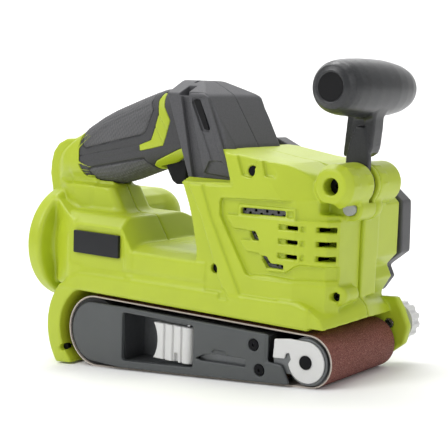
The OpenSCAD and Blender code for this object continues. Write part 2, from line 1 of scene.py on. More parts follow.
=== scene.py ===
import bpy
import math
import numpy as np
from mathutils import Matrix, Vector


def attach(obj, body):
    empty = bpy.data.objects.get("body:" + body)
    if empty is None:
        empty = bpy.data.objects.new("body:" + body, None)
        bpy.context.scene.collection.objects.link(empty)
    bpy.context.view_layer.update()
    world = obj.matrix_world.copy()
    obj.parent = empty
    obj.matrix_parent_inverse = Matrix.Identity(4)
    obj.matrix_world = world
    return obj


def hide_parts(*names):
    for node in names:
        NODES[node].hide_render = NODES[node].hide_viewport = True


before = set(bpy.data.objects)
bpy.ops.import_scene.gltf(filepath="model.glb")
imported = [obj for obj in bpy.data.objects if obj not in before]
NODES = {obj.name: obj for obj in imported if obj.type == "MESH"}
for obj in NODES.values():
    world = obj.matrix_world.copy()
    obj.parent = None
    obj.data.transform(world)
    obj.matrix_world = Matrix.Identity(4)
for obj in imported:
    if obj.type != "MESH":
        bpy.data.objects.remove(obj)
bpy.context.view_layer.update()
TAU = math.radians(5.5)
CT, ST = math.cos(TAU), math.sin(TAU)
np.random.seed(7)

# ------------------------------------------------------------------ distance fields, mm, leaning frame (u, y, w)


def rint(a, b, r):
    """Intersection with a round edge of radius r."""
    if r <= 0:
        return np.maximum(a, b)
    return np.minimum(-r, np.maximum(a, b)) + np.hypot(np.maximum(a + r, 0), np.maximum(b + r, 0))


def runi(a, b, r):
    """Union with a fillet of radius r."""
    if r <= 0:
        return np.minimum(a, b)
    return np.maximum(r, np.minimum(a, b)) - np.hypot(np.maximum(r - a, 0), np.maximum(r - b, 0))


def fillet(pts, r, n=5):
    out, m = [], len(pts)
    for i in range(m):
        p, a, b = (np.array(pts[j][:2], float) for j in (i, i - 1, (i + 1) % m))
        ri = pts[i][2] if len(pts[i]) > 2 else r
        va, vb = a - p, b - p
        la, lb = np.linalg.norm(va), np.linalg.norm(vb)
        va, vb = va / la, vb / lb
        half = math.acos(float(np.clip(va @ vb, -1, 1))) / 2
        if ri <= 0 or half > math.pi / 2 - 0.03 or half < 0.02:
            out.append(p)
            continue
        t = min(ri / math.tan(half), la * 0.45, lb * 0.45)
        rr = t * math.tan(half)
        bis = (va + vb) / np.linalg.norm(va + vb)
        c = p + bis * (rr / math.sin(half))
        pa, pb = p + va * t - c, p + vb * t - c
        a0 = math.atan2(pa[1], pa[0])
        d = math.atan2(pb[1], pb[0]) - a0
        d = (d + math.pi) % (2 * math.pi) - math.pi
        out += [c + rr * np.array([math.cos(a0 + d * k / n), math.sin(a0 + d * k / n)]) for k in range(n + 1)]
    return np.array(out)


def poly2(pts):
    pts = np.array(pts, float)

    def f(u, w):
        d = s = None
        for i in range(len(pts)):
            a, b = pts[i], pts[i - 1]
            e = b - a
            wu, ww = u - a[0], w - a[1]
            t = np.clip((wu * e[0] + ww * e[1]) / max(float(e @ e), 1e-9), 0, 1)
            dd = (wu - e[0] * t) ** 2 + (ww - e[1] * t) ** 2
            d = dd if d is None else np.minimum(d, dd)
            c1, c2, c3 = w >= a[1], w < b[1], e[0] * ww > e[1] * wu
            flip = (c1 & c2 & c3) | (~c1 & ~c2 & ~c3)
            s = np.where(flip, -1.0, 1.0) if s is None else np.where(flip, -s, s)
        return s * np.sqrt(d)
    return f


def line2(pts, r):
    """Distance to an open polyline in (u, w), less r."""
    pts = np.array(pts, float)

    def f(u, w):
        d = None
        for a, b in zip(pts[:-1], pts[1:]):
            e = b - a
            t = np.clip(((u - a[0]) * e[0] + (w - a[1]) * e[1]) / max(float(e @ e), 1e-9), 0, 1)
            dd = (u - a[0] - e[0] * t) ** 2 + (w - a[1] - e[1] * t) ** 2
            d = dd if d is None else np.minimum(d, dd)
        return np.sqrt(d) - r
    return f


class Prim:
    def __init__(s, fn, lo, hi):
        s.fn, s.lo, s.hi = fn, np.array(lo, float), np.array(hi, float)


def ext(pts, y0, y1, r2=1.0, re=1.0):
    q = fillet(pts, r2)
    g, yc, hh = poly2(q), (y0 + y1) / 2, (y1 - y0) / 2
    return Prim(lambda U, Y, W: rint(g(U, W), np.abs(Y - yc) - hh, re),
                [q[:, 0].min(), y0, q[:, 1].min()], [q[:, 0].max(), y1, q[:, 1].max()])


def plan(pts, w0, w1, r2=1.0, re=1.0):
    """Outline in (u, y), from w0 to w1."""
    q = fillet(pts, r2)
    g, wc, hh = poly2(q), (w0 + w1) / 2, (w1 - w0) / 2
    return Prim(lambda U, Y, W: rint(g(U, Y), np.abs(W - wc) - hh, re),
                [q[:, 0].min(), q[:, 1].min(), w0], [q[:, 0].max(), q[:, 1].max(), w1])


def hull(points, r=1.0):
    """Rounded convex solid round these points."""
    p = np.array(points, float)
    n = len(p)
    planes = []
    c = p.mean(0)
    for i in range(n):
        for j in range(i + 1, n):
            for k in range(j + 1, n):
                m = np.cross(p[j] - p[i], p[k] - p[i])
                l = np.linalg.norm(m)
                if l < 1e-6:
                    continue
                m = m / l
                if m @ (c - p[i]) > 0:
                    m = -m
                if ((p - p[i]) @ m).max() < 1e-4:
                    d = m @ p[i]
                    if not any(q[0] @ m > 0.99995 and abs(q[1] - d) < 0.02 for q in planes):
                        planes.append((m, d))
    planes.sort(key=lambda q: (round(float(q[0][0]), 4), round(float(q[0][1]), 4), round(float(q[0][2]), 4)))

    def f(U, Y, W):
        d = None
        for m, o in planes:
            e = U * m[0] + Y * m[1] + W * m[2] - o
            d = e if d is None else rint(d, e, r)
        return d
    return Prim(f, p.min(0), p.max(0))


def slabs(parts, r=1.0):
    """Rounded convex solid from outlines at given y: [(pts, y), ...]."""
    return hull([(u, y, w) for pts, y in parts for u, w in pts], r)


def cyl(axis, c, r, a0, a1, re=0.5):
    """Round bar along axis 'u', 'y' or 'w'; c is its centre on the other two axes."""
    i = "uyw".index(axis)
    o = [j for j in range(3) if j != i]
    m, h = (a0 + a1) / 2, (a1 - a0) / 2

    def f(*X):
        return rint(np.hypot(X[o[0]] - c[0], X[o[1]] - c[1]) - r, np.abs(X[i] - m) - h, re)
    lo, hi = np.zeros(3), np.zeros(3)
    lo[i], hi[i] = a0, a1
    for j, k in zip(o, c):
        lo[j], hi[j] = k - r, k + r
    return Prim(f, lo, hi)


def ball(c, r):
    return Prim(lambda U, Y, W: np.sqrt((U - c[0]) ** 2 + (Y - c[1]) ** 2 + (W - c[2]) ** 2) - r,
                np.array(c) - r, np.array(c) + r)


def capsule(a, b, r):
    a, b = np.array(a, float), np.array(b, float)
    e = b - a

    def f(U, Y, W):
        t = np.clip(((U - a[0]) * e[0] + (Y - a[1]) * e[1] + (W - a[2]) * e[2]) / float(e @ e), 0, 1)
        return np.sqrt((U - a[0] - e[0] * t) ** 2 + (Y - a[1] - e[1] * t) ** 2 + (W - a[2] - e[2] * t) ** 2) - r
    return Prim(f, np.minimum(a, b) - r, np.maximum(a, b) + r)


def lathe(c, pts, r2=1.0):
    """Solid of revolution about the Y axis through (u, w) = c; pts are (radius, y)."""
    q = fillet(pts, r2)
    g = poly2(q)
    R = q[:, 0].max()
    return Prim(lambda U, Y, W: g(np.hypot(U - c[0], W - c[1]), Y),
                [c[0] - R, q[:, 1].min(), c[1] - R], [c[0] + R, q[:, 1].max(), c[1] + R])


def both(a, b, r=0.0):
    return Prim(lambda U, Y, W: rint(a.fn(U, Y, W), b.fn(U, Y, W), r), np.maximum(a.lo, b.lo), np.minimum(a.hi, b.hi))


def less(a, b, r=0.0):
    return Prim(lambda U, Y, W: rint(a.fn(U, Y, W), -b.fn(U, Y, W), r), a.lo, a.hi)


def level(p):
    """A solid drawn in the level frame (x, y, z), used in the leaning frame."""
    c = [(x, y, z) for x in (p.lo[0], p.hi[0]) for y in (p.lo[1], p.hi[1]) for z in (p.lo[2], p.hi[2])]
    q = np.array([(x * CT - z * ST, y, x * ST + z * CT) for x, y, z in c])
    return Prim(lambda U, Y, W: p.fn(U * CT + W * ST, Y, -U * ST + W * CT), q.min(0), q.max(0))


def lean_in(p):
    """A solid drawn in the leaning frame, used on a level grid."""
    c = [(u, y, w) for u in (p.lo[0], p.hi[0]) for y in (p.lo[1], p.hi[1]) for w in (p.lo[2], p.hi[2])]
    q = np.array([(u * CT + w * ST, y, -u * ST + w * CT) for u, y, w in c])
    return Prim(lambda X, Y, Z: p.fn(X * CT - Z * ST, Y, X * ST + Z * CT), q.min(0), q.max(0))


BIG = 1e4


def half(n, d):
    """Everything with n . p below d."""
    n = np.array(n, float)
    n = n / np.linalg.norm(n)
    return Prim(lambda U, Y, W: U * n[0] + Y * n[1] + W * n[2] - d, [-BIG] * 3, [BIG] * 3)


CORNERS = [(0, 0, 0), (1, 0, 0), (0, 1, 0), (1, 1, 0), (0, 0, 1), (1, 0, 1), (0, 1, 1), (1, 1, 1)]
EDGES = [(a, b) for a in range(8) for b in range(a + 1, 8) if bin(a ^ b).count("1") == 1]


class Vol:
    """A block of space in which solids are joined and cut, then meshed."""

    def __init__(s, lo, hi, h):
        s.h = h = h * 1.0
        s.lo = np.array(lo, float) - 2.5 * h
        n = np.ceil((np.array(hi, float) + 2.5 * h - s.lo) / h).astype(int) + 1
        s.ax = [(s.lo[i] + h * np.arange(n[i])).astype(np.float32) for i in range(3)]
        s.F = np.full(n, 12.0, np.float32)

    def part(s, p, m):
        sl = []
        for i in range(3):
            a, b = np.searchsorted(s.ax[i], [p.lo[i] - m, p.hi[i] + m])
            sl.append(slice(int(a), int(b)))
        if any(q.stop <= q.start for q in sl):
            return None, None
        X = [s.ax[i][sl[i]].reshape([-1 if k == i else 1 for k in range(3)]) for i in range(3)]
        return tuple(sl), X

    def add(s, p, r=0.0):
        sl, X = s.part(p, r + 3 * s.h + 1)
        if sl:
            s.F[sl] = runi(s.F[sl], p.fn(*X), r)
        return s

    def cut(s, p, r=0.0):
        sl, X = s.part(p, r + 3 * s.h + 1)
        if sl:
            s.F[sl] = rint(s.F[sl], -p.fn(*X), r)
        return s

    def keep(s, p, r=0.0):
        X = [s.ax[i].reshape([-1 if k == i else 1 for k in range(3)]) for i in range(3)]
        s.F = rint(s.F, p.fn(*X), r).astype(np.float32)
        return s

    def mesh(s):
        F, h = s.F, s.h
        neg = F < 0
        n = np.array(F.shape) - 1
        cnt = np.zeros(n, np.uint8)
        for c in CORNERS:
            cnt += neg[c[0]:c[0] + n[0], c[1]:c[1] + n[1], c[2]:c[2] + n[2]]
        act = (cnt > 0) & (cnt < 8)
        idx = np.argwhere(act)
        vid = np.full(n, -1, np.int64)
        vid[act] = np.arange(len(idx))
        val = [F[idx[:, 0] + c[0], idx[:, 1] + c[1], idx[:, 2] + c[2]].astype(float) for c in CORNERS]
        pos, k = np.zeros((len(idx), 3)), np.zeros(len(idx))
        for a, b in EDGES:
            m = (val[a] < 0) != (val[b] < 0)
            t = np.where(m, val[a] / np.where(m, val[a] - val[b], 1), 0)
            ca, cb = np.array(CORNERS[a], float), np.array(CORNERS[b], float)
            pos += m[:, None] * (ca + t[:, None] * (cb - ca))
            k += m
        V = s.lo + h * (idx + pos / k[:, None])
        faces = []
        for ax in range(3):
            o1, o2 = (ax + 1) % 3, (ax + 2) % 3
            a = [slice(None)] * 3
            b = [slice(None)] * 3
            a[ax], b[ax] = slice(0, -1), slice(1, None)
            ch = neg[tuple(a)] != neg[tuple(b)]
            e = np.argwhere(ch)
            e = e[(e[:, o1] > 0) & (e[:, o2] > 0) & (e[:, o1] < n[o1]) & (e[:, o2] < n[o2])]
            ins = neg[e[:, 0], e[:, 1], e[:, 2]]
            q = []
            for d1, d2 in ((-1, -1), (0, -1), (0, 0), (-1, 0)):
                c = e.copy()
                c[:, o1] += d1
                c[:, o2] += d2
                q.append(vid[c[:, 0], c[:, 1], c[:, 2]])
            q = np.stack(q, 1)
            q[~ins] = q[~ins][:, ::-1]
            faces.append(q)
        return V, np.concatenate(faces)


def to_level(V):
    u, y, w = V[:, 0], V[:, 1], V[:, 2]
    return np.stack([u * CT + w * ST, y, -u * ST + w * CT], 1)


def make(name, V, Fc, mats, body, nodes=(), thin=None, mat_of=None, sharp=None):
    """A mesh piece from vertices in mm in the level frame."""
    me = bpy.data.meshes.new(name)
    V = np.asarray(V, np.float32) / 1000
    Fc = np.asarray(Fc)
    k = Fc.shape[1]
    me.vertices.add(len(V))
    me.vertices.foreach_set("co", V.ravel())
    me.loops.add(Fc.size)
    me.loops.foreach_set("vertex_index", Fc.ravel().astype(np.int32))
    me.polygons.add(len(Fc))
    me.polygons.foreach_set("loop_start", np.arange(0, Fc.size, k, dtype=np.int32))
    me.update(calc_edges=True)
    me.validate()
    me.polygons.foreach_set("use_smooth", np.ones(len(me.polygons), bool))
    for m in mats:
        me.materials.append(m)
    if mat_of is not None:
        c = np.zeros(len(me.polygons) * 3)
        me.polygons.foreach_get("center", c)
        nn = np.zeros(len(me.polygons) * 3)
        me.polygons.foreach_get("normal", nn)
        me.polygons.foreach_set("material_index", mat_of(c.reshape(-1, 3) * 1000, nn.reshape(-1, 3)).astype(np.int32))
    ob = bpy.data.objects.new(name, me)
    bpy.context.scene.collection.objects.link(ob)
    if thin:
        d = ob.modifiers.new("thin", "DECIMATE")
        d.ratio = thin
        wn = ob.modifiers.new("wn", "WEIGHTED_NORMAL")
        wn.weight = 60
        wn.keep_sharp = False
    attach(ob, body)
    if nodes:
        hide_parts(*nodes)
    return ob


def piece(name, vol, mats, body, nodes=(), thin=None, lean=True, mat_of=None):
    V, Fc = vol.mesh()
    return make(name, to_level(V) if lean else V, Fc, mats, body, nodes, thin, mat_of)


# ------------------------------------------------------------------ materials


def srgb(c):
    return tuple(((x / 255) / 12.92 if x / 255 <= 0.04045 else ((x / 255 + 0.055) / 1.055) ** 2.4) for x in c)


def material(name, build):
    m = bpy.data.materials.new(name)
    m.use_nodes = True
    nt = m.node_tree
    nt.nodes.clear()
    out = nt.nodes.new("ShaderNodeOutputMaterial")
    b = nt.nodes.new("ShaderNodeBsdfPrincipled")
    nt.links.new(b.outputs[0], out.inputs[0])
    build(nt, b)
    return m


def coords(nt):
    return nt.nodes.new("ShaderNodeTexCoord").outputs["Object"]


def noise(nt, scale, detail=3.0, rough=0.5, vec=None):
    n = nt.nodes.new("ShaderNodeTexNoise")
    n.inputs["Scale"].default_value = scale
    n.inputs["Detail"].default_value = detail
    n.inputs["Roughness"].default_value = rough
    nt.links.new(vec or coords(nt), n.inputs["Vector"])
    return n.outputs["Fac"]


def ramp(nt, fac, stops):
    r = nt.nodes.new("ShaderNodeValToRGB")
    while len(r.color_ramp.elements) < len(stops):
        r.color_ramp.elements.new(0.5)
    for e, (p, c) in zip(r.color_ramp.elements, stops):
        e.position = p
        e.color = (*c, 1) if len(c) == 3 else c
    nt.links.new(fac, r.inputs["Fac"])
    return r.outputs["Color"]


def maprange(nt, fac, a, b, c, d):
    r = nt.nodes.new("ShaderNodeMapRange")
    for k, v in zip(("From Min", "From Max", "To Min", "To Max"), (a, b, c, d)):
        r.inputs[k].default_value = v
    nt.links.new(fac, r.inputs["Value"])
    return r.outputs["Result"]


def bump(nt, b, height, strength, dist):
    n = nt.nodes.new("ShaderNodeBump")
    n.inputs["Strength"].default_value = strength
    n.inputs["Distance"].default_value = dist
    nt.links.new(height, n.inputs["Height"])
    nt.links.new(n.outputs["Normal"], b.inputs["Normal"])


def plastic(name, c, rough=0.42, grain=3200, amount=0.25, vary=0.05, spec=0.5, depth=0.00012, mottle=60):
    """Moulded plastic: slight shade drift, spark-eroded grain in roughness and bump."""
    def build(nt, b):
        base = np.array(srgb(c))
        drift = noise(nt, mottle, 3)
        col = ramp(nt, drift, [(0.3, tuple(base * (1 - vary))), (0.7, tuple(np.minimum(base * (1 + vary), 1)))])
        nt.links.new(col, b.inputs["Base Color"])
        g = noise(nt, grain, 2, 0.6)
        nt.links.new(maprange(nt, g, 0.3, 0.7, rough - 0.06, rough + 0.08), b.inputs["Roughness"])
        b.inputs["Specular IOR Level"].default_value = spec
        bump(nt, b, g, amount, depth)
    return material(name, build)


def rubber(name, c, rough=0.62, grain=2600, amount=0.5, knurl=False):
    """Soft overmould: matt, with a fine leathery grain whose hollows are painted darker as painted shade; knurl adds
    rows of small raised lozenges, with stronger painted shade between them.
    """
    def build(nt, b):
        base = np.array(srgb(c))
        v = nt.nodes.new("ShaderNodeTexVoronoi")
        v.inputs["Scale"].default_value = 900 if not knurl else 520
        v.inputs["Randomness"].default_value = 0.9 if not knurl else 0.12
        if knurl:
            mp = nt.nodes.new("ShaderNodeMapping")
            mp.inputs["Rotation"].default_value = (0, math.radians(28), 0)
            mp.inputs["Scale"].default_value = (1.0, 1.0, 0.75)
            nt.links.new(coords(nt), mp.inputs["Vector"])
            nt.links.new(mp.outputs[0], v.inputs["Vector"])
        else:
            nt.links.new(coords(nt), v.inputs["Vector"])
        n = noise(nt, grain, 3, 0.6)
        # colour runs from the Voronoi cell centres out to their edges, where the bump sinks: painted shade in the
        # hollows, down to 0.9 of the base on the grain and 0.62 on the knurl
        col = ramp(nt, v.outputs["Distance"], [(0.1, tuple(base * 1.12)), (0.75, tuple(base * (0.9 if not knurl else 0.62)))])
        nt.links.new(col, b.inputs["Base Color"])
        mix = nt.nodes.new("ShaderNodeMath")
        mix.operation = "MULTIPLY_ADD"
        nt.links.new(v.outputs["Distance"], mix.inputs[0])
        mix.inputs[1].default_value = -0.9 if knurl else -0.35
        nt.links.new(n, mix.inputs[2])
        nt.links.new(maprange(nt, n, 0.3, 0.7, rough - 0.07, rough + 0.07), b.inputs["Roughness"])
        bump(nt, b, mix.outputs[0], amount, 0.0004 if knurl else 0.00015)
    return material(name, build)


def metal(name, c, rough=0.3, scale=(1, 1, 1), grain=900, amount=0.15, depth=0.00005):
    def build(nt, b):
        base = np.array(srgb(c))
        mp = nt.nodes.new("ShaderNodeMapping")
        mp.inputs["Scale"].default_value = scale
        nt.links.new(coords(nt), mp.inputs["Vector"])
        n = noise(nt, grain, 4, 0.65, mp.outputs[0])
        nt.links.new(ramp(nt, n, [(0.3, tuple(base * 0.85)), (0.7, tuple(np.minimum(base * 1.1, 1)))]), b.inputs["Base Color"])
        nt.links.new(maprange(nt, n, 0.3, 0.7, rough - 0.08, rough + 0.1), b.inputs["Roughness"])
        b.inputs["Metallic"].default_value = 1.0
        bump(nt, b, n, amount, depth)
    return material(name, build)


def grit(name):
    """Bonded abrasive: dark red-brown resin full of paler and darker mineral grains."""
    def build(nt, b):
        v = nt.nodes.new("ShaderNodeTexVoronoi")
        v.inputs["Scale"].default_value = 1500
        nt.links.new(coords(nt), v.inputs["Vector"])
        n1, n2 = noise(nt, 1700, 3, 0.7), noise(nt, 90, 3, 0.6)
        cr = ramp(nt, n1, [(0.28, srgb((58, 25, 22))), (0.47, srgb((112, 58, 49))), (0.60, srgb((140, 80, 68))), (0.74, srgb((206, 158, 138)))])
        mx = nt.nodes.new("ShaderNodeMix")
        mx.data_type = "RGBA"
        mx.blend_type = "MULTIPLY"
        mx.inputs[0].default_value = 0.35
        nt.links.new(cr, mx.inputs[6])
        nt.links.new(ramp(nt, n2, [(0.35, (0.72, 0.7, 0.7)), (0.65, (1, 1, 1))]), mx.inputs[7])
        nt.links.new(mx.outputs[2], b.inputs["Base Color"])
        nt.links.new(maprange(nt, n1, 0.3, 0.8, 0.85, 0.45), b.inputs["Roughness"])
        ad = nt.nodes.new("ShaderNodeMath")
        ad.operation = "ADD"
        nt.links.new(v.outputs["Distance"], ad.inputs[0])
        nt.links.new(n1, ad.inputs[1])
        bump(nt, b, ad.outputs[0], 0.8, 0.0004)
    return material(name, build)


def cloth(name, c):
    """Woven belt backing: a fine twill in bump and shade."""
    def build(nt, b):
        base = np.array(srgb(c))
        w = nt.nodes.new("ShaderNodeTexWave")
        w.inputs["Scale"].default_value = 700
        w.inputs["Distortion"].default_value = 2
        nt.links.new(coords(nt), w.inputs["Vector"])
        nt.links.new(ramp(nt, w.outputs["Fac"], [(0.2, tuple(base * 0.82)), (0.8, tuple(np.minimum(base * 1.06, 1)))]), b.inputs["Base Color"])
        b.inputs["Roughness"].default_value = 0.85
        bump(nt, b, w.outputs["Fac"], 0.4, 0.0002)
    return material(name, build)


def speckle(name, c1, c2, scale=400):
    def build(nt, b):
        n = noise(nt, scale, 4, 0.7)
        nt.links.new(ramp(nt, n, [(0.42, srgb(c1)), (0.58, srgb(c2))]), b.inputs["Base Color"])
        b.inputs["Roughness"].default_value = 0.8
        bump(nt, b, n, 0.5, 0.0003)
    return material(name, build)


LIME = plastic("lime_plastic", (172, 188, 42), rough=0.38, vary=0.03, amount=0.12)
DARK = rubber("dark_overmould", (74, 74, 77), rough=0.56, amount=0.35)
GRIP = rubber("soft_grip", (60, 60, 62), rough=0.60, amount=0.4)
KNURL = rubber("soft_grip_textured", (92, 92, 94), rough=0.62, amount=0.8, knurl=True)
BLACK = plastic("black_plastic", (24, 24, 25), rough=0.5, amount=0.25, spec=0.15)
SIDE = plastic("side_plate_plastic", (72, 75, 76), rough=0.46, amount=0.4, grain=2200, vary=0.05)
COVER = plastic("drive_cover_plastic", (72, 72, 74), rough=0.48, amount=0.35, grain=2200)
PALE = plastic("pale_grey_plastic", (206, 206, 205), rough=0.40, vary=0.02, amount=0.15)
HANDLE = rubber("front_handle_rubber", (42, 43, 45), rough=0.30, amount=0.3)
PLATE = plastic("blank_plate", (26, 27, 30), rough=0.36, amount=0.15, spec=0.3)
SILVER = plastic("silver_button", (168, 170, 172), rough=0.3, vary=0.02, amount=0.1)
STEEL = metal("bright_steel", (196, 196, 198), rough=0.28, scale=(1, 0.1, 1))
DULL = metal("cast_metal", (120, 122, 124), rough=0.5, grain=500, amount=0.4, depth=0.0002)
MESHM = metal("vent_mesh_metal", (96, 96, 98), rough=0.45, grain=900, amount=0.3)
BSCREW = metal("black_screw", (34, 34, 36), rough=0.4)
COPPER = metal("copper_winding", (176, 102, 62), rough=0.4, scale=(1, 6, 1))
BRONZE = metal("bronze_bush", (176, 138, 82), rough=0.4)
TBELT = rubber("timing_belt_rubber", (32, 32, 33), rough=0.7)
CORK = speckle("cork_pad", (110, 78, 48), (156, 118, 78))
BOARD = plastic("board_green", (26, 84, 48), rough=0.35, vary=0.15, mottle=500)
GRIT = grit("abrasive_grit")
BACK = cloth("belt_backing", (196, 186, 176))

# ------------------------------------------------------------------ casing, shared outlines (leaning frame)
PU, PW, MU, MW, BU, BW = 90.2, 126.2, 46.0, 92.0, 93.6, 112.6
XR, ZR, XF, ZF = -83.8, 23.8, 83.8, 15.8
UR, WR = XR * CT - ZR * ST, XR * ST + ZR * CT
UF, WF = XF * CT - ZF * ST, XF * ST + ZF * CT


def ys(s, a, b):
    """|y| from a to b on side s."""
    return (a, b) if s > 0 else (-b, -a)


def interp(u, xs, vs):
    shape = np.shape(u)
    return np.interp(np.ravel(u), xs, vs).reshape(shape)


HU = [-126, -120, -108, -97, -90, -84, -72, -56, -40, -8]
HC = [129.5, 131.5, 134.8, 137.6, 139.6, 141.6, 146.0, 151.6, 154.5, 158.0]
HH = [18.0, 19.8, 23.2, 25.4, 26.0, 26.2, 26.2, 26.0, 25.2, 23.6]
HW = [16.0, 16.2, 16.7, 17.1, 17.3, 17.5, 17.7, 18.0, 18.0, 18.0]


def handle(d=0.0):
    def f(U, Y, W):
        c, hh, hw = interp(U, HU, HC), interp(U, HU, HH) - d, interp(U, HU, HW) - d
        # flattened oval section
        ww = np.maximum(np.abs(W - c) - (hh - hw * 0.98), 0) / (hw * 0.98)
        yy = np.abs(Y) / hw
        return ((ww ** 2.3 + yy ** 2.3) ** (1 / 2.3) - 1) * hw * 0.95
    return Prim(f, [-126, -19, 104], [-8, 19, 184])


def cap_solid(d=0.0):
    A = [(-36 + d, 176 - d), (-17 + d, 123.5), (16 - d, 123.5), (7.5 - d, 144.5), (-5 - d, 175.5 - d)]
    B = [(-38 + d, 184 - d), (-20.7, 184 - d), (-9 - d, 178 - d)]
    C = [(15.2 - d, 144.3), (15.8 - d, 123.5)]
    return slabs([(A, -30 + d), (A, 30 - d), (B, -11.5 + d), (B, 11.5 - d), (C, -24.5 + d), (C, 24.5 - d)], 1.0)


CAP0 = cap_solid(0)
WELL = Prim(lambda U, Y, W: np.maximum(np.maximum(np.abs(U + 44.5) - 10.9, np.abs(Y) - 9.4), np.abs(W - 123) - 18), [-55.4, -9.4, 105], [-33.6, 9.4, 141])


def box(u0, u1, y0, y1, w0, w1, r=0.4):
    return Prim(lambda U, Y, W: rint(rint(np.abs(U - (u0 + u1) / 2) - (u1 - u0) / 2, np.abs(Y - (y0 + y1) / 2) - (y1 - y0) / 2, r),
                                     np.abs(W - (w0 + w1) / 2) - (w1 - w0) / 2, r), [u0, y0, w0], [u1, y1, w1])


GUARD = [(-59.5, 127.5), (-58, 123.4), (-48, 126.6), (-36.6, 133.2), (-28, 137), (-28, 142), (-36, 139.4), (-50.5, 133.2), (-56, 130.8)]
GRIP_OUT = [(-106, 106), (-110.9, 112), (-116.4, 113.8), (-121.3, 117.6), (-124.3, 123.9), (-124.6, 129.5), (-123.9, 138.2), (-122, 146), (-120, 156), (-118, 200), (-22, 200), (-22, 106)]
FENDER = [(-135, 44), (-85, 44), (-85, 30), (-112, 15.66), (-104, -14.5), (-124, -16), (-135, 0)]
FLOOR = level(Prim(lambda U, Y, W: W - 1.2, [-BIG] * 3, [BIG, BIG, 1.2]))


def planf(i):
    """Front block's outline seen from above, moved in by i."""
    return [(-30, 6), (-30, -39 + i), (68.6 - i * 0.18, -39 + i), (87.5 - i * 0.71, -32 + i * 0.8), (92.3 - i, -23.8 + 0.2 * i), (91.2 - i, -22.4), (91.2 - i, 0), (91.2 - i, 6)]


def casing(v, s):
    """Solids that both halves share; s is the side."""
    hw = 40 if s < 0 else 44
    A = [(-131, 43), (-131, 80), (-118, 93.5), (-66, 93.5), (-55.6, 78.2), (-55, 43)]
    B = [(-110, 43), (-110, 81), (-101, 87), (-63, 87), (-52.4, 72.8), (-52.4, 43)]
    v.add(slabs([(A, 0), (A, s * 28), (B, s * hw)], 1.6))
    M1 = [(-58, 43), (-58, 77), (6, 77), (6, 43)]
    M2 = [(-58, 43), (-58, 72.8), (6, 72.8), (6, 43)]
    v.add(slabs([(M1, 0), (M1, s * 28), (M2, s * hw)], 1.4), 2.0)
    # battery collar and its neck
    col = cyl("u", (0, 67.6), 40.3, -150, -137, 3.6)
    col2 = both(col, half((0, -s, 0), 0.0))
    v.add(col2)
    neck = both(cyl("u", (0, 67.6), 27, -140, -122, 0.5), half((0, -s, 0), 0.0))
    v.add(neck, 4.0)
    na, nb_ = [(-140, 42), (-140, 101)], [(-108, 43.5), (-108, 88)]
    v.add(slabs([(na, 0), (na, s * 22), (nb_, 0), (nb_, s * 38)], 1.2), 3.0)
    # column up to the handle
    body = ext([(-126, 80), (-134, 122), (-128, 142), (-119, 149), (-110, 149), (-97, 113), (-93.5, 111), (-82.5, 93), (-84, 82)], -17.2, 17.2, 5, 6)
    oval0 = handle(0).fn
    lim0 = Prim(lambda U, Y, W: runi(oval0(U, Y, W), W - 110, 7.0), [-BIG] * 3, [BIG] * 3)
    v.add(both(both(body, half((0, -s, 0), 0.0)), lim0, 1.0), 4.0)
    P1 = [(-143, 80), (-151, 113), (-151.5, 123), (-148.5, 130.5), (-142, 136), (-130, 141.5), (-119, 148.5), (-110, 148.5), (-110, 82)]
    P2 = [(-129, 84), (-137.5, 114), (-139.5, 124), (-138, 131), (-133, 136.5), (-124, 143), (-114, 147), (-110, 147), (-110, 82)]
    oval = handle(0).fn
    lim = Prim(lambda U, Y, W: runi(oval(U, Y, W), W - 110, 7.0), [-BIG] * 3, [BIG] * 3)
    v.add(both(slabs([(P1, 0), (P1, s * 9), (P2, s * 17.2)], 2.0), lim, 1.5), 2.5)
    spine = ext([(-153.5, 80), (-160.3, 115), (-159.5, 123.5), (-157.2, 131), (-152.3, 136.8), (-144.6, 140.4), (-136.7, 141), (-131, 143.6), (-120, 150), (-114, 130), (-120, 84)],
                -8, 8, 3, 2.2)
    v.add(both(spine, half((0, -s, 0), 0.0)), 1.2)
    grip_out = ext(GRIP_OUT, -60, 60, 1, 0)
    v.cut(both(both(handle(-0.5), grip_out), Prim(lambda U, Y, W: -handle(3.0).fn(U, Y, W), [-BIG] * 3, [BIG] * 3)), 0.2)
    v.add(both(both(handle(3.0), half((0, -s, 0), 0.0)), half((-1, 0, 0), 124)), 0.5)
    # belt guard strip, round the rear roller
    y0, y1 = ys(s, 0, hw + 1.2)
    strip = ext([(-118, 41.8), (-117, 44), (-114.1, 46.2), (-107, 51), (-100, 54.1), (-87.2, 54.9), (18.9, 56.5), (70, 57.3), (82, 55), (82, 41.8)], y0, y1, 1.5, 2.0)
    v.add(strip, 1.2)
    y0, y1 = ys(s, 0, hw + 1.0)
    ring = Prim(lambda U, Y, W: np.abs(np.hypot(U - UR, W - WR) - 36.4) - 6.0, [UR - 43, -60, WR - 43], [UR + 43, 60, WR + 43])
    fen = both(both(ring, ext(FENDER, y0, y1, 0.5, 1.8), 1.2), Prim(lambda U, Y, W: -FLOOR.fn(U, Y, W), [-BIG] * 3, [BIG] * 3), 1.0)
    v.add(fen, 1.5)
    # nose over the front of the belt
    a, b = [(60, 43), (92.3, 43.2), (90.6, 48.4), (74, 58), (60, 58)], [(60, 46), (99.6, 47), (97.3, 54.2), (91, 60), (60, 60)]
    yn = s * (hw if s < 0 else 41)
    v.add(slabs([(a, yn), (a, yn - s * 1), (b, 0), (b, s * 2)], 1.0), 1.5)


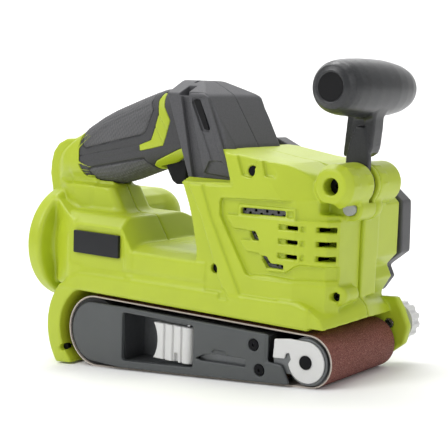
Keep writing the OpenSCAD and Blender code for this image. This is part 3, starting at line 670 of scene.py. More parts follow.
def casing_cuts(v, s):
    hw = 40
    cav = ext([(3, 62), (3, 113), (22, 121), (34, 129), (52, 127), (62, 113), (80, 104), (80, 62)], -33.4, 41, 1, 0.3)
    v.cut(both(cav, plan(planf(5.6), 40, 160, 0.5, 0)) if s < 0 else cav)
    v.cut(ext([(-47, 61), (-47, 70), (4, 70), (4, 61)], -35, 35, 1, 0.3))
    v.cut(box(-154, -92, -19, 19, 46, 92, 0.8))
    v.cut(box(-93, -83, -15, 15, 50, 88, 0.3))
    v.cut(WELL)
    v.cut(box(-68, -38, -9.5, 9.5, 140, 161, 0.3))
    v.cut(ext(GUARD, -40, 40, 0.5, 0))
    v.cut(CAP0)
    slot = Prim(lambda U, Y, W: np.maximum(np.minimum(np.hypot(U - PU, W - PW) - 13.7, np.maximum(np.abs(U - PU - 0.7) - 9.3, -(W - PW))), np.abs(Y + 5) - 2.4),
                [PU - 14, -7.4, PW - 14], [PU + 14, -2.6, PW + 24])
    v.cut(slot)
    v.cut(cyl("y", (PU, PW), 3.6, -25, 25, 0))
    v.cut(cyl("y", (PU, PW), 5, -41, -23.9, 0.3), 0.4)
    v.cut(cyl("y", (BU, BW), 3.9, -27, -8, 0))


def barrel(v, s):
    if s < 0:
        v.add(lathe((PU, PW), [(0, -36), (9.9, -36), (13, -31), (13, 2), (0, 2)], 0.8), 1.2)
    else:
        v.add(cyl("y", (PU, PW), 13, 0, 26, 1.2), 1.2)
    # grip ribs on the front of the barrel
    for k, a in enumerate((12, 38, 64)):
        for y in ((-27, -12) if s < 0 else (6,)):
            r = 12.9
            c = (PU + r * math.cos(math.radians(a - 8)), PW + r * math.sin(math.radians(a - 8)))
            v.add(cyl("y", c, 0.7, y - 2.5 - k, y + 3, 0.5), 0.4)
    y0, y1 = (-17.5, 0) if s < 0 else (0, 10)
    v.add(cyl("y", (BU, BW), 7.4, y0, y1, 1.0 if s < 0 else 4.0), 1.5)


# ---- near half
H = 0.85
near = Vol((-161, -42.5, -17), (101, 0, 158), H)
casing(near, -1)
# front block: flat side, then two facets turned towards the nose
SIDE_F = [(-2.5, 50), (-2, 80), (-5.6, 97), (-9, 108), (-13.5, 119), (-17, 123.5), (-12, 136), (9, 144), (17, 143.6), (46, 139), (60, 137.6), (84, 128), (93, 116), (93, 50)]


blk = both(ext(SIDE_F, -60, 60, 0.8, 0), plan(planf(0), 50, 150, 0.5, 0), 0.8)
top = slabs([([(-25, 50), (-25, 143), (9, 142.2), (34, 139.6), (58, 136.2), (70, 128), (95, 108), (95, 50)], -40),
             ([(-25, 50), (-25, 145), (17, 144.2), (46, 139.6), (60, 138.2), (84, 129.5), (95, 117), (95, 50)], -16),
             ([(-25, 50), (-25, 145), (17, 144.2), (46, 139.6), (60, 138.2), (84, 129.5), (95, 117), (95, 50)], 4)], 0.6)
near.add(both(blk, top, 0.8), 1.2)
# pocket round the vents, with its floor stepped in from the outer faces
pocket = ext([(14.9, 103.1), (14.5, 111.1), (15.5, 113.9), (92.3, 117.1), (98, 117.3), (98, 68.5), (67.9, 68.5), (40.8, 68.1), (35.4, 69.6)], -60, -22.8, 1.5, 0)
near.cut(less(pocket, plan(planf(3.1), 40, 160, 0.5, 0)), 0.7)
raised = ext([(18.3, 104.2), (68, 104.9), (91.6, 105.8), (91.6, 78.6), (72, 79.2), (68.5, 77.6), (63, 73.6), (50.4, 73.4), (46.4, 78.4), (44.2, 83.2), (34.6, 83.2), (29.5, 90), (38, 90.2), (35.4, 96.4), (24.6, 96.2)], -60, -18, 0.5, 0)
near.add(both(raised, plan(planf(0.8), 70, 130, 0.5, 0), 0.6), 0.4)
frame_a = ext([(27.4, 104.5), (27.9, 111.2), (68.6, 111.6), (68.6, 104.5)], -60, -20, 0.6, 0)
near.add(both(frame_a, plan(planf(1.6), 70, 130, 0.5, 0), 0.6), 0.4)
near.cut(ext([(62.6, 105.9), (62.6, 109.8), (67.2, 110.1), (67.2, 106.2)], -60, -35.8, 0.4, 0.3), 0.3)
ledge = ext([(37, 68.5), (40.5, 69.8), (50.2, 70.3), (68, 70.0), (86, 70.6), (91.6, 70.6), (91.6, 60), (37, 60)], -60, -18, 0.6, 0)
near.add(both(ledge, plan(planf(1.2), 58, 130, 0.5, 0), 0.9), 0.8)
# diagonal strut and the ledges beside it
strut = ext([(-9, 121.0), (1.3, 103), (16.1, 66.5), (22.5, 54), (35.6, 51.5), (28.6, 64.5), (9.2, 101.8), (1.6, 121.0)], -41.0, -20, 0.8, 0.8)
near.add(strut, 0.8)
near.cut(ext([(0.5, 123.4), (4.6, 120.4), (24, 121.4), (24, 122.8)], -42, -38.1, 0.3, 0.2), 0.3)
# shallow notches round the upper screw
near.cut(ext([(25.6, 142), (30.6, 128.4), (37.6, 127.3), (43.4, 142)], -42, -36.8, 0.6, 0.3), 0.4)
near.cut(ext([(43.8, 142), (46.9, 129.2), (53.2, 128.6), (51.5, 142)], -42, -36.4, 0.5, 0.3), 0.4)
# broad facet down to the barrel
near.cut(Prim(lambda U, Y, W: np.maximum(-half((0.30, -0.92, 0.25), 0).fn(U - 55.2, Y + 39, W - 120.4), 115.4 - W + (U - 60) * 0.05), [50, -60, 114], [104, -18, 150]), 0.4)
# front screw boss
near.add(capsule((70, -27, 62), (91.5, -22.5, 61.7), 5.4), 1.5)
near.add(cyl("y", (91.5, 61.7), 5.2, -24.4, -8, 0.8), 1.2)
barrel(near, -1)
seat_out, seat_in = [(-40, 119.5), (28.2, 123.2), (19.6, 145), (19.6, 152), (-40, 152)], [(-40, 123.6), (16.3, 123.8), (7.9, 145), (7.9, 152), (-40, 152)]
near.cut(slabs([(seat_out, -46), (seat_in, -30.1)], 0.4), 0.4)
# recess beside the lock button
near.cut(ext([(BU - 13, BW - 3.6), (BU - 13, BW + 3.8), (BU - 1, BW + 4), (BU - 1, BW - 4)], -60, -19.5, 2.0, 0.6), 1.0)
near.add(both(cyl("y", (BU, BW), 6.2, -17.5, 0, 0.8), half((0, 1, 0), 0)), 0.8)
near.cut(cyl("y", (BU, BW), 3.9, -27, -8, 0))
# rear ribs on the spine side and the panel step round the plate
near.cut(ext([(-108.6, 60), (-108.6, 86), (-61, 86), (-61, 60)], -60, -39.4, 2, 0), 0.3)
near.cut(ext([(-104, 67), (-104, 82.9), (-63.5, 82.9), (-63.5, 67)], -60, -39.2, 0.8, 0))
# groove above the belt guard
near.cut(capsule((-96, -41.6, 58.6), (16, -41.6, 59.6), 2.1), 0.9)
near.cut(ext([(17, 58.5), (17.5, 52.4), (25, 52.4), (22, 58.5)], -44, -39.6, 0.6, 0.2), 0.5)
casing_cuts(near, -1)
# vents
near.cut(ext([(29.5, 105.4), (29.5, 109.2), (61.5, 109.8), (61.5, 106.4)], -60, -30, 0.3, 0), 0.2)
near.cut(ext([(36, 95.8), (41.2, 95.8), (44.3, 90.5), (39.2, 90.5)], -60, -30, 0.2, 0), 0.2)
near.cut(ext([(44.6, 82), (49.6, 82), (53, 78), (61.8, 78), (61.8, 75.2), (50, 75.2)], -60, -30, 0.2, 0), 0.2)
for w in (100.3, 91.9, 83.3):
    near.cut(box(61.6, 70.6, -60, -30, w - 1.3, w + 1.3, 0), 0.3)
    near.cut(box(57.4, 61.7, -60, -36.0, w - 1.5, w + 1.5, 0.3), 0.3)
    near.cut(box(72.0, 74.6, -60, -35.0, w - 1.7, w + 1.3, 0.3), 0.3)
    near.cut(box(80.4, 89.5, -60, -18, w - 1.5, w + 1.5, 0), 0.3)
# screw wells
for p, r, d in (((12.7, 70.3), 3.0, -35), ((36.7, 131.5), 3.2, -32.6), ((-113.5, 0.5), 2.3, -36)):
    near.cut(cyl("y", p, r, -60, d, 0.4), 0.5)
    near.cut(cyl("y", p, r * 0.42, -60, -27, 0))
near.cut(cyl("y", (91.5, 61.7), 2.7, -30, -12, 0), 0.2)
near.keep(half((0, 1, 0), -0.16), 0.25)
piece("housing_right_shell", near, [LIME], "housing", ["housing_right"], thin=0.45)

# ---- far half
far = Vol((-161, 0, -17), (106, 62, 158), 1.0)
casing(far, 1)
FARP = [(-2, 50), (-2, 80), (-6, 97), (-17, 123.5), (9, 144), (17, 143.5), (46, 139), (60, 137.5), (84, 131.5), (89, 127), (85.5, 119.5), (93, 112.5),
        (93, 80.6), (86.5, 73.2), (90, 66), (84, 56), (84, 50)]
far.add(ext(FARP, -2, 44, 0.6, 0.8), 1.0)
far.add(ext([(93, 112), (93.8, 116), (86, 119), (80, 100), (80, 60), (93, 58), (93.4, 112)], -2, 18, 0.6, 0.6), 0.6)
barrel(far, 1)
far.add(ext([(-137, 67), (-137, 99), (-131, 104.8), (-112, 104.8), (-102, 101), (-97, 95), (-96, 67)], 20, 54.5, 3, 3), 2)
far.add(capsule((-137, 54.5, 86), (-113, 54.5, 86), 19), 1.5)
far.cut(box(-170, -137, 22, 80, 60, 110, 0.0), 0.8)
far.add(both(cyl("u", (0, 67.6), 40.3, -150, -137, 3.6), half((0, -1, 0), 0)), 0)
wall = ext([(-118, 44), (-121, 12), (-108, 4), (64, 4), (74, 5), (94, 8), (104, 14.5), (107.5, 25), (104, 36), (100, 44)], 41, 46.8, 2.5, 1.2)
far.add(level(wall), 1.0)
casing_cuts(far, 1)
for p, r in (((12.7, 70.3), 2.9), ((36.7, 131.5), 2.9), ((-113.5, 0.5), 2.3)):
    far.cut(cyl("y", p, r, 34, 60, 0))
far.cut(cyl("u", (54.5, 86), 16.45, -170, -113, 0), 0.3)
far.cut(cyl("y", (UR, WR), 9.1, 40, 49, 0))
far.cut(cyl("y", (MU, MW), 9, 30, 49, 0))
far.cut(level(cyl("y", (94, 27), 3.1, 40, 50, 0)))
far.cut(cyl("y", (-50, 150), 4.3, 9, 24, 0))
far.keep(half((0, -1, 0), -0.16), 0.25)
piece("housing_left_shell", far, [LIME], "housing", ["housing_left"], thin=0.4)

# ------------------------------------------------------------------ head cap
CAP_PANEL = [(-18.7, 175.5), (-7.4, 175.9), (-3.7, 173.6), (14.5, 130.3), (16.4, 125.2), (-5, 127.0)]
CAP_BAND = [(-25.2, 177), (-13.8, 123.7), (-6.3, 124.3), (-20.1, 176.2)]
CAP_SLOT = [(-16.0, 170.4), (-13, 172.8), (-10.2, 171.6), (-1.6, 155.1), (-2.8, 152.4), (-7.6, 152.8)]
for s, nm in ((-1, "right"), (1, "left")):
    y0, y1 = ys(s, 0, 31)
    v = Vol((-39, y0, 122.5), (17, y1, 185), 0.5)
    v.add(CAP0)
    # near face set back round a tapered panel, with a deeper band behind it
    v.cut(less(ext([(-21, 180), (0, 180), (20, 132), (20, 122), (-8, 122)], *ys(s, 27.6, 40), 0.6, 0), ext(CAP_PANEL, -60, 60, 1.0, 0)), 0.3)
    v.cut(ext(CAP_BAND, *ys(s, 26.6, 40), 0.8, 0.4), 0.3)
    v.cut(ext([(-25.6, 174), (-20.0, 174), (-20.9, 190), (-27.4, 190)], *ys(s, 19, 40), 0.6, 0.3), 0.3)
    v.cut(ext([(-19.6, 123), (-17.0, 123), (-36.8, 180), (-39, 180)], *ys(s, 28.6, 40), 0.4, 0.3), 0.3)
    # lower facet of the panel, then the narrow window
    v.cut(ext([(-4.6, 127.0), (-0.9, 134.6), (8.2, 135.2), (14.0, 131.4), (16.6, 125)], *ys(s, 28.3, 40), 0.3, 0.2), 0.3)
    v.cut(ext([(-16.4, 173.2), (0.8, 134.9), (8.2, 135.4), (-5.6, 173.8)], *ys(s, 29.0, 40), 1.4, 0.2), 0.2)
    v.cut(ext(CAP_SLOT, *ys(s, 28.0, 40), 1.0, 0.2), 0.3)
    # fine crease over the ridge
    v.cut(ext([(-26.0, 190), (-26.0, 181.9), (-24.6, 181.9), (-24.6, 190)], *ys(s, -2, 40), 0.2, 0.0), 0.3)
    v.cut(slabs([([(-31, 172), (-14, 123), (10, 123), (-8, 171)], 24.0 * s), ([(-31, 172), (-14, 123), (10, 123), (-8, 171)], -1 * s),
                 ([(-31, 180), (-22, 180), (-12, 174), (10.5, 143.5), (11, 123), (-14, 123)], 9 * s), ([(-31, 180), (-22, 180), (-12, 174), (10.5, 143.5), (11, 123), (-14, 123)], -1 * s)], 0.3))
    v.keep(half((0, -s, 0), -0.2), 0.25)
    piece("head_cap_" + nm + "_moulding", v, [DARK], "housing", ["head_cap_" + nm], thin=0.5)

# ------------------------------------------------------------------ grip, accents and guard
ACC = [(-52.7, 173.9), (-53.7, 170.2), (-52.1, 162), (-55.5, 151.1), (-58.2, 144.2), (-68.3, 140.6), (-67.8, 136.5), (-48.2, 141.1), (-45.8, 147.1), (-42.5, 157.7), (-47.7, 166.3), (-50.5, 177)]
UP = [(-123.5, 160), (-122.5, 146), (-120, 136.9), (-117.4, 135.4), (-66.5, 147.2), (-63, 149.2), (-56.7, 164.1), (-59.6, 168.1), (-60, 179)]
SEAM = [(-126, 129.3), (-69.2, 140.2)]
LOW = [(-110.5, 106), (-110.5, 112), (-115.5, 120.9), (-112.7, 122.3), (-65.4, 131.7), (-61.2, 127.7), (-57, 121)]
HND = handle(0)


def on_grip(f2, depth):
    """A cut along lines drawn from the side, only as deep as depth below the grip."""
    return Prim(lambda U, Y, W: np.maximum(f2(U, W), -(HND.fn(U, Y, W) + depth)), HND.lo - 1, HND.hi + 1)


UPF, LOWF, ACCF = poly2([*UP, (-60, 200), (-140, 200)]), poly2([*LOW, (-57, 90), (-110.5, 90)]), poly2(ACC)


def grip_slots(c, n):
    x, y, z = c[:, 0], c[:, 1], c[:, 2]
    u, w = x * CT - z * ST, x * ST + z * CT
    return np.where((UPF(u, w) < -0.6) | (LOWF(u, w) < -0.6), 1, 0)


for s, nm in ((-1, "right"), (1, "left")):
    y0, y1 = ys(s, 0, 19)
    v = Vol((-125, y0, 104), (-10, y1, 184), 0.65)
    v.add(HND)
    # panels stand slightly proud of the grooves round them
    v.cut(on_grip(line2(UP, 0.55), 1.0), 0.2)
    v.cut(on_grip(line2(LOW, 0.55), 1.0), 0.2)
    v.cut(on_grip(line2(SEAM, 0.35), 0.7), 0.2)
    v.cut(on_grip(line2([(-122.5, 125.2), (-69, 136.4)], 0.3), 0.5), 0.2)
    v.cut(ext(ACC, *ys(s, 10, 40), 0.8, 0), 0.2)
    v.cut(ext([(p[0], p[1]) for p in GUARD], -40, 40, 0.8, 0), 0.3)
    v.cut(Prim(lambda U, Y, W: handle(2.9).fn(U, Y, W), [-126, -19, 104], [-8, 19, 184]))
    v.cut(WELL)
    v.cut(CAP0)
    v.cut(cyl("y", (-50, 150), 4.3, 9 if s > 0 else 60, 24 if s > 0 else 61, 0))
    v.keep(ext(GRIP_OUT, -60, 60, 1, 0), 0.5)
    v.keep(half((0, -s, 0), -0.12), 0.3)
    # small lozenges moulded into the panels
    V, Fc = v.mesh()
    d = HND.fn(V[:, 0], V[:, 1], V[:, 2])
    on = (np.minimum(UPF(V[:, 0], V[:, 2]), LOWF(V[:, 0], V[:, 2])) < -1.2) & (np.abs(d) < 0.35)
    c = interp(V[:, 0], HU, HC)
    ang = np.arctan2(V[:, 2] - c, np.abs(V[:, 1]) + 1e-6) * 22
    k1, k2 = V[:, 0] / 2.0, ang / 2.3
    bumpy = np.cos(math.pi * (k1 + k2)) * np.cos(math.pi * (k1 - k2))
    e = 0.3
    g = np.stack([HND.fn(V[:, 0] + e, V[:, 1], V[:, 2]) - d, HND.fn(V[:, 0], V[:, 1] + e, V[:, 2]) - d, HND.fn(V[:, 0], V[:, 1], V[:, 2] + e) - d], 1)
    g /= np.linalg.norm(g, axis=1)[:, None] + 1e-9
    V = V + g * (on * np.abs(bumpy) * 0.0 + on * bumpy * 0.22)[:, None]
    make("grip_" + nm + "_overmould", to_level(V), Fc, [GRIP, KNURL], "housing", ["grip_" + nm], None, grip_slots)

v = Vol((-70, -19, 134), (-41, 19, 181), 0.55)
v.add(both(HND, ext([(p[0], p[1]) for p in ACC], -40, 40, 0.8, 0), 0.4))
v.cut(handle(2.9))
v.cut(on_grip(line2([(-57.5, 156.5), (-46.5, 141)], 0.28), 0.5), 0.1)
v.cut(on_grip(line2([(-54, 163.2), (-42, 148)], 0.28), 0.5), 0.1)
v.cut(box(-100, 0, -11.5, 11.5, 100, 200, 0))
v.cut(cyl("y", (-50, 150), 4.3, 9, 24, 0))
v.cut(CAP0)
piece("grip_accents_inlay", v, [LIME], "housing", ["grip_accents"])

v = Vol((-61, -19, 122), (-27, 19, 144), 0.5)
v.add(both(handle(-0.6), ext([(p[0], p[1]) for p in GUARD], -17.4, 17.4, 0.8, 0.5), 0.8))
v.cut(WELL, 0.3)
v.cut(CAP0)
piece("trigger_guard_rim", v, [LIME], "housing", ["trigger_guard"])

# ------------------------------------------------------------------ front handle
v = Vol((72, -43, 118), (110, 46, 201), 0.7)
m, hl = 1.5, 43.5
ARM_L = 77.0
prof = [(0, m - hl + 1.2), (8.0, m - hl + 1.2), (8.4, m - hl), (9.4, m - hl), (12.4, m - hl + 1.6), (14.6, m - hl + 5), (15.6, m - hl + 9.5), (16.4, m - hl + 18), (16.9, m - 14), (17, m - 2), (16.8, m + 10),
        (16.0, m + 20), (14.8, m + 29), (13.0, m + 36), (10.4, m + 41.4), (9.0, m + hl - 0.3), (8.4, m + hl - 0.6), (8.0, m + hl - 1.4), (0, m + hl - 1.4)]
v.add(lathe((90.8, 182.4), prof, 1.2))
arm = ext([(ARM_L, 141.6), (ARM_L + 0.6, 147), (79.0, 160), (80.2, 172), (100.4, 172), (99.8, 158), (98.8, 148), (97.6, 144.6), (94.0, 142.2)], -6, 6, 1.6, 1.4)
v.add(arm, 3.2)
for s in (-1, 1):
    v.cut(ext([(84.6, 147), (84.0, 160), (85.4, 165.0), (92.8, 165), (93.4, 158), (92.6, 147.0)], *ys(s, 3.6, 12), 2.2, 0.8), 1.2)
v.cut(Prim(lambda U, Y, W: np.maximum(-(half((-0.35, -1, 0), 0).fn(U - 84.5, Y + 3.8, W)), -W + 130), [75, -10, 141], [86, 0, 168]), 0.8)
v.add(ext([(PU - 8, PW), (PU - 8, 141), (PU - 6, 150), (PU - 2, 160), (PU + 4, 160), (PU + 6.6, 150), (PU + 7.6, 141), (PU + 7.6, PW)], -6.9, -3, 1.2, 0.5), 0.6)
v.add(cyl("y", (PU, PW), 11, -7, -3, 0.3))
v.cut(cyl("y", (PU, PW), 3.56, -10, 0, 0))
piece("front_handle_moulding", v, [HANDLE], "front_handle", ["front_handle_arm", "front_handle_grip"], thin=0.6)

# ------------------------------------------------------------------ belt side
WIN = [(-58.7, 0.9), (-58.7, 33), (0, 33), (0, 6.4)]
sp = Vol((-108, -43, -5), (74, -38.2, 38), 0.55)
sp.add(ext([(UR, 35.4), (-60, 36.3), (55.4, 36.3), (55.4, 20), (65.5, 19.3), (70.5, 10.6), (70.5, 8.6), (1, 1.6), (-60, -3.9), (UR, -4.1)], -42, -38.5, 1.2, 0.9))
sp.add(cyl("y", (UR, WR), 19.8, -42, -38.5, 0.9))
sp.cut(level(Prim(lambda X, Y, Z: Z - 1.6, [-BIG, -BIG, -BIG], [BIG, BIG, 1.6])), 0.4)
# shallow frame round the window and the tapering rear end
sp.cut(ext([(p[0], p[1]) for p in WIN], -60, -30, 2.2, 0), 0.5)
sp.cut(ext([(1.7, 12.9), (8, 16.2), (12, 17.0), (20, 18.2), (39.8, 18.8), (39.9, 13.9), (25, 13.2), (6.5, 12.2)], -60, -38.0, 0.4, 0), 0.4)
sp.cut(ext([(14, 18.6), (16, 20.6), (24, 21.0), (26, 18.6)], -60, -41.0, 0.4, 0.2), 0.3)
for p in ((45.3, 28.4), (50, 13.8)):
    sp.cut(cyl("y", p, 3.8, -60, -40.2, 0), 0.4)
    sp.cut(cyl("y", p, 1.7, -60, -30, 0))
sp.cut(box(52, 80, -39.9, -38, -10, 50, 0))
sp.cut(Prim(lambda U, Y, W: -(half((-0.0698, -1, 0), 0).fn(U + 64, Y + 42.0, W)), [-130, -50, -20], [-63.9, -30, 60]), 0.3)
sp.cut(ext([(54.0, 36.5), (54.0, 19.0), (55.6, 19.0), (55.6, 36.5)], -60, -41.2, 0.1, 0), 0.2)
for k in range(15):
    sp.cut(box(-56 + 7.6 * k, -53.4 + 7.6 * k, -60, -41.3, -6, 2.2 + 0.09 * (-54 + 7.6 * k), 0.2), 0.3)
piece("side_plate_moulding", sp, [SIDE], "housing", ["side_plate"], thin=0.5)

LU, LY = -7.4, -36.3
lv = Vol((-34, -42, 6.6), (-1.8, -33, 31.4), 0.45)
lv.add(ext([(-33.3, 7.4), (-33.3, 30.6), (LU, 30.6), (LU, 7.4)], LY - 5, LY + 2, 1.0, 0.6))
lv.add(cyl("w", (LU, LY), 5, 7.4, 30.6, 0.8), 0)
lv.cut(cyl("y", (-33.3 - 17, 19), 21, -60, -20, 0), 0.6)
for k in (-24.4, -17.4, -10.6):
    lv.cut(box(k, k + 1.5, -60, LY - 3.6, -5, 50, 0.4), 0.5)
lv.cut(box(-15.6, -12.2, -60, LY - 2.6, 0, 13.2, 0.3), 0.3)
lv.cut(cyl("w", (LU, LY), 1.56, 0, 40, 0))
piece("tension_lever_moulding", lv, [PALE], "tension_lever", ["tension_lever"])

cl = Vol((58, -42, 10), (96, -39, 38), 0.4)
cl.add(ext([(59.8, 34.4), (59, 22.9), (67, 23.6), (68, 26.6), (70.5, 27.6), (72, 24.4), (80, 22), (84, 36.1), (70, 36)], -41.2, -39.7, 0.5, 0.4))
cl.add(cyl("y", (UF, WF), 12.3, -41.2, -39.7, 0.4))
cl.cut(ext([(67.5, 22), (68, 26.6), (70.4, 27.5), (71.6, 24), (69.4, 20)], -60, -30, 0.4, 0), 0.2)
cl.cut(cyl("y", (UF, WF), 4, -60, -30, 0), 0.25)
piece("axle_clip_plate", cl, [PALE], "front_carriage", ["axle_clip"])

# ------------------------------------------------------------------ far side cover
OUT = [(-131, 20), (-127, 46), (-116, 56), (-96, 62), (-76, 65), (-52, 72), (-10, 146), (-3, 148), (15, 139.8), (42, 135.5), (70, 134.5), (77, 133), (84, 128), (82, 122.5), (93.6, 113),
       (94.4, 81), (81.4, 70.5), (84.7, 63.7), (78, 54), (40, 50), (0, 37), (-50, 4), (-66, -3.4), (-82, -5.9), (-104, -3), (-120, 3)]
INN = [(-117, 20), (-112, 44), (-96, 54), (-50, 66), (-6, 120), (0, 126), (60, 120), (78, 110), (78, 84), (66, 66), (40, 62), (-10, 40), (-50, 16), (-80, 4), (-106, 4)]
cv = Vol((-132, 46, -7), (96, 62.2, 149), 0.95)
g = poly2(fillet(OUT, 1.6))
cv.add(Prim(lambda U, Y, W: np.maximum(np.maximum(rint(g(U, W), Y - 62, 1.0), (g(U, W) + (Y - 62) + 3.4) * 0.7071), 46.8 - Y), [-131, 46, -6], [94.4, 62, 148]))
# raised rib pattern on the outer face
cv.cut(ext([(-40, 30), (-20, 60), (2, 118), (60, 118), (72, 108), (72, 88), (58, 72), (20, 58), (-10, 40)], 60.8, 70, 4, 0.5), 0.6)
for k in range(5):
    cv.add(capsule((6 + 11 * k, 60.6, 76 + 2 * k), (6 + 11 * k, 60.6, 110 + 0.5 * k), 1.1), 0.5)
cv.cut(ext(INN, 40, 58.9, 1, 0.4))
cv.cut(level(cyl("y", (94, 27), 20, 40, 70, 0)), 0.5)
cv.cut(capsule((-170, 54.5, 86), (-113, 54.5, 86), 19.7), 0.5)
L = np.array([MU - UR, MW - WR])
dirn = L / np.linalg.norm(L)
nrm = np.array([-dirn[1], dirn[0]])
loop = [np.array([UR, WR]) + nrm * 21 - dirn * 12, np.array([MU, MW]) + nrm * 13 + dirn * 9, np.array([MU, MW]) - nrm * 13 + dirn * 9, np.array([UR, WR]) - nrm * 21 - dirn * 12]
cv.cut(ext([tuple(p) for p in loop], 40, 58.9, 9, 0.3))
for p in ((-122, 30), (86, 98), (-2, 139), (72, 64)):
    cv.cut(cyl("y", p, 2.1, 40, 70, 0))
    cv.cut(cyl("y", p, 4.2, 61.2, 70, 0.2), 0.2)
piece("drive_cover_moulding", cv, [COVER], "housing", ["drive_cover"], thin=0.5)

# ------------------------------------------------------------------ sanding belt: grit outside, woven backing inside


def belt_path(d, n):
    r1, r2 = 23.8 - d, 15.8 - d
    top = math.radians(84.53438)
    a = np.linspace(top, math.radians(270), n)
    b = np.linspace(math.radians(-90), top, n)
    p = [(XR + r1 * math.cos(t), ZR + r1 * math.sin(t)) for t in a]
    q = [(XF + r2 * math.cos(t), ZF + r2 * math.sin(t)) for t in b]
    mid = [(XR + (XF - XR) * k / 40, d) for k in range(1, 40)]
    e0, e1 = np.array(q[-1]), np.array(p[0])
    ret = [tuple(e0 + (e1 - e0) * k / 40) for k in range(1, 40)]
    return np.array(p + mid + q + ret)


nb = 60
outp, inp = belt_path(0.0, nb), belt_path(1.0, nb)
edge_ys = [-38, -37.8, *np.linspace(-36.5, 36.5, 21), 37.8, 38]
rows = []
for y in edge_ys:
    d = 0.18 if abs(y) == 38 else 0.0
    rows.append(np.c_[outp[:, 0] * (1 - 0) , np.full(len(outp), y), outp[:, 1]] if d == 0 else
                np.c_[belt_path(d, nb)[:, 0], np.full(len(outp), y), belt_path(d, nb)[:, 1]])
for y in reversed(edge_ys):
    rows.append(np.c_[inp[:, 0], np.full(len(inp), y), inp[:, 1]])
K, Mn = len(rows), len(outp)
V = np.concatenate(rows)
faces, fm = [], []
for k in range(K):
    k2 = (k + 1) % K
    for i in range(Mn):
        j = (i + 1) % Mn
        faces.append((k * Mn + i, k * Mn + j, k2 * Mn + j, k2 * Mn + i))
        fm.append(0 if 1 <= k < len(edge_ys) - 2 else 1)
fm = np.array(fm)
belt = make("sanding_belt_loop", V, faces, [GRIT, BACK], "housing", ["sanding_belt"])
belt.data.polygons.foreach_set("material_index", fm.astype(np.int32))
belt.data.update()

# ------------------------------------------------------------------ carried-over nodes: finishes and soft edges
FIN = {
    "cap_insert": BLACK, "switch_body": BLACK, "battery_terminals": BLACK, "control_board": BOARD, "belt_frame": DULL,
    "side_plate_screws": BSCREW, "platen_pad": CORK, "platen": STEEL, "drive_bearings": STEEL, "motor_can": DULL, "motor_bearings": STEEL,
    "drive_cover_screws": STEEL, "vent_mesh": MESHM, "dust_port": COVER, "housing_screws": BSCREW, "name_plate": PLATE, "timing_belt": TBELT,
    # handle_bolt gets the black screw finish as painted shade: it is darkened so the bolt seen through the barrel's
    # hole reads as the hole's shade
    "handle_bolt": BSCREW, "lever_pin": STEEL, "tension_spring": STEEL, "trigger": BLACK, "trigger_spring": STEEL, "lock_on_button": BLACK,
    "front_handle_cap": BLACK, "handle_lock_button": SILVER, "front_yoke": DULL, "front_axle": BSCREW, "tension_rod": STEEL, "tracking_knob": PALE,
    "tracking_screw": STEEL, "drive_roller": TBELT, "drive_shaft": STEEL, "driven_pulley": DULL, "front_roller": DULL, "roller_bushes": BRONZE,
    "motor_rotor": COPPER, "motor_shaft": STEEL, "cooling_fan": BLACK, "motor_pulley": DULL,
}
BEV = {"name_plate": 0.5, "trigger": 2.2, "tracking_knob": 0.8, "front_handle_cap": 0.5, "dust_port": 0.6, "cap_insert": 0.25, "handle_lock_button": 0.5,
       "lock_on_button": 0.6, "front_yoke": 0.4, "handle_bolt": 0.4, "belt_frame": 0.4}
for name, ob in NODES.items():
    if ob.hide_render:
        continue
    ob.data.materials.clear()
    ob.data.materials.append(FIN[name])
    w = ob.modifiers.new("weld", "WELD")
    w.merge_threshold = 0.00002
    b = ob.modifiers.new("bevel", "BEVEL")
    b.width = BEV.get(name, 0.2) / 1000
    b.segments = 3 if BEV.get(name, 0) >= 0.5 else 2
    b.limit_method = "ANGLE"
    b.angle_limit = math.radians(32)
    b.harden_normals = True
    for p in ob.data.polygons:
        p.use_smooth = True
    wn = ob.modifiers.new("wn", "WEIGHTED_NORMAL")
    wn.keep_sharp = True

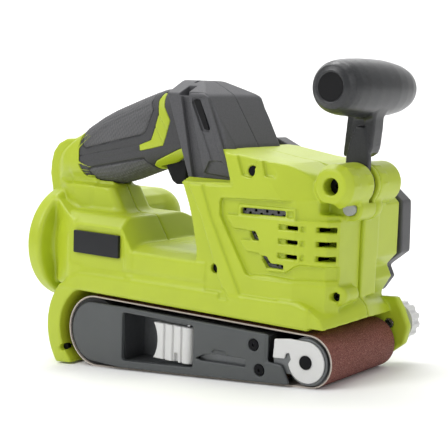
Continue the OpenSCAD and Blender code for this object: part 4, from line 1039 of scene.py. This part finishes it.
# ------------------------------------------------------------------ floor, light, camera
n = 40
R = 1.2
prof = [(-3.0, 0.0)] + [(2.2 + R * math.sin(a), R * (1 - math.cos(a))) for a in np.linspace(0, math.pi / 2, n)] + [(2.2 + R, 6.0)]
ax = Vector((-0.59574, 0.80050, 0)).normalized()
side = Vector((ax.y, -ax.x, 0))
vs, fs = [], []
for t, z in prof:
    for k in (-1, 1):
        vs.append(ax * t + side * 6 * k + Vector((0, 0, z)))
for i in range(len(prof) - 1):
    fs.append((2 * i, 2 * i + 1, 2 * i + 3, 2 * i + 2))
me = bpy.data.meshes.new("floor")
me.from_pydata([tuple(q) for q in vs], [], fs)
for p in me.polygons:
    p.use_smooth = True
floor = bpy.data.objects.new("floor", me)
bpy.context.scene.collection.objects.link(floor)


def floor_mat(nt, b):
    nn = noise(nt, 3, 2)
    nt.links.new(ramp(nt, nn, [(0.2, (0.93, 0.93, 0.93)), (0.8, (0.96, 0.96, 0.96))]), b.inputs["Base Color"])
    b.inputs["Roughness"].default_value = 0.7
    b.inputs["Specular IOR Level"].default_value = 0.2


me.materials.append(material("floor_paint", floor_mat))

world = bpy.data.worlds.new("studio")
bpy.context.scene.world = world
world.use_nodes = True
world.node_tree.nodes["Background"].inputs[0].default_value = (1, 1, 1, 1)
world.node_tree.nodes["Background"].inputs[1].default_value = 0.48


def area(name, loc, target, size, power, col=(1, 1, 1)):
    l = bpy.data.lights.new(name, "AREA")
    l.shape = "RECTANGLE"
    l.size, l.size_y = size
    l.energy = power
    l.color = col
    o = bpy.data.objects.new(name, l)
    o.location = loc
    o.rotation_mode = "QUATERNION"
    o.rotation_quaternion = (Vector(target) - Vector(loc)).to_track_quat("-Z", "Y")
    bpy.context.scene.collection.objects.link(o)
    return o


area("key", (-0.55, -1.15, 1.15), (0, 0, 0.08), (0.9, 0.9), 11.5)
area("top", (0.0, 0.1, 1.6), (0, 0, 0.08), (1.4, 1.4), 8.5)
area("backdrop", tuple(ax * 1.6 + Vector((0, 0, 3.2))), tuple(ax * 3.2 + Vector((0, 0, 0.9))), (3.0, 1.2), 100)
area("fill", (1.3, -0.5, 0.7), (0, 0, 0.08), (0.8, 1.2), 3.2)

cam = bpy.data.cameras.new("camera")
cam.lens, cam.sensor_width = 90.99, 36
cam.clip_start, cam.clip_end = 0.01, 50
co = bpy.data.objects.new("camera", cam)
right, up, fwd = Vector((0.80317, 0.59404, -0.04506)), Vector((-0.00288, 0.07950, 0.99683)), Vector((-0.59574, 0.80050, -0.06556))
mat = Matrix((right, up, -fwd)).transposed().to_4x4()
mat.translation = (0.43555, -0.58651, 0.14080)
co.matrix_world = mat
bpy.context.scene.collection.objects.link(co)
bpy.context.scene.camera = co
bpy.context.scene.view_settings.view_transform = "Standard"
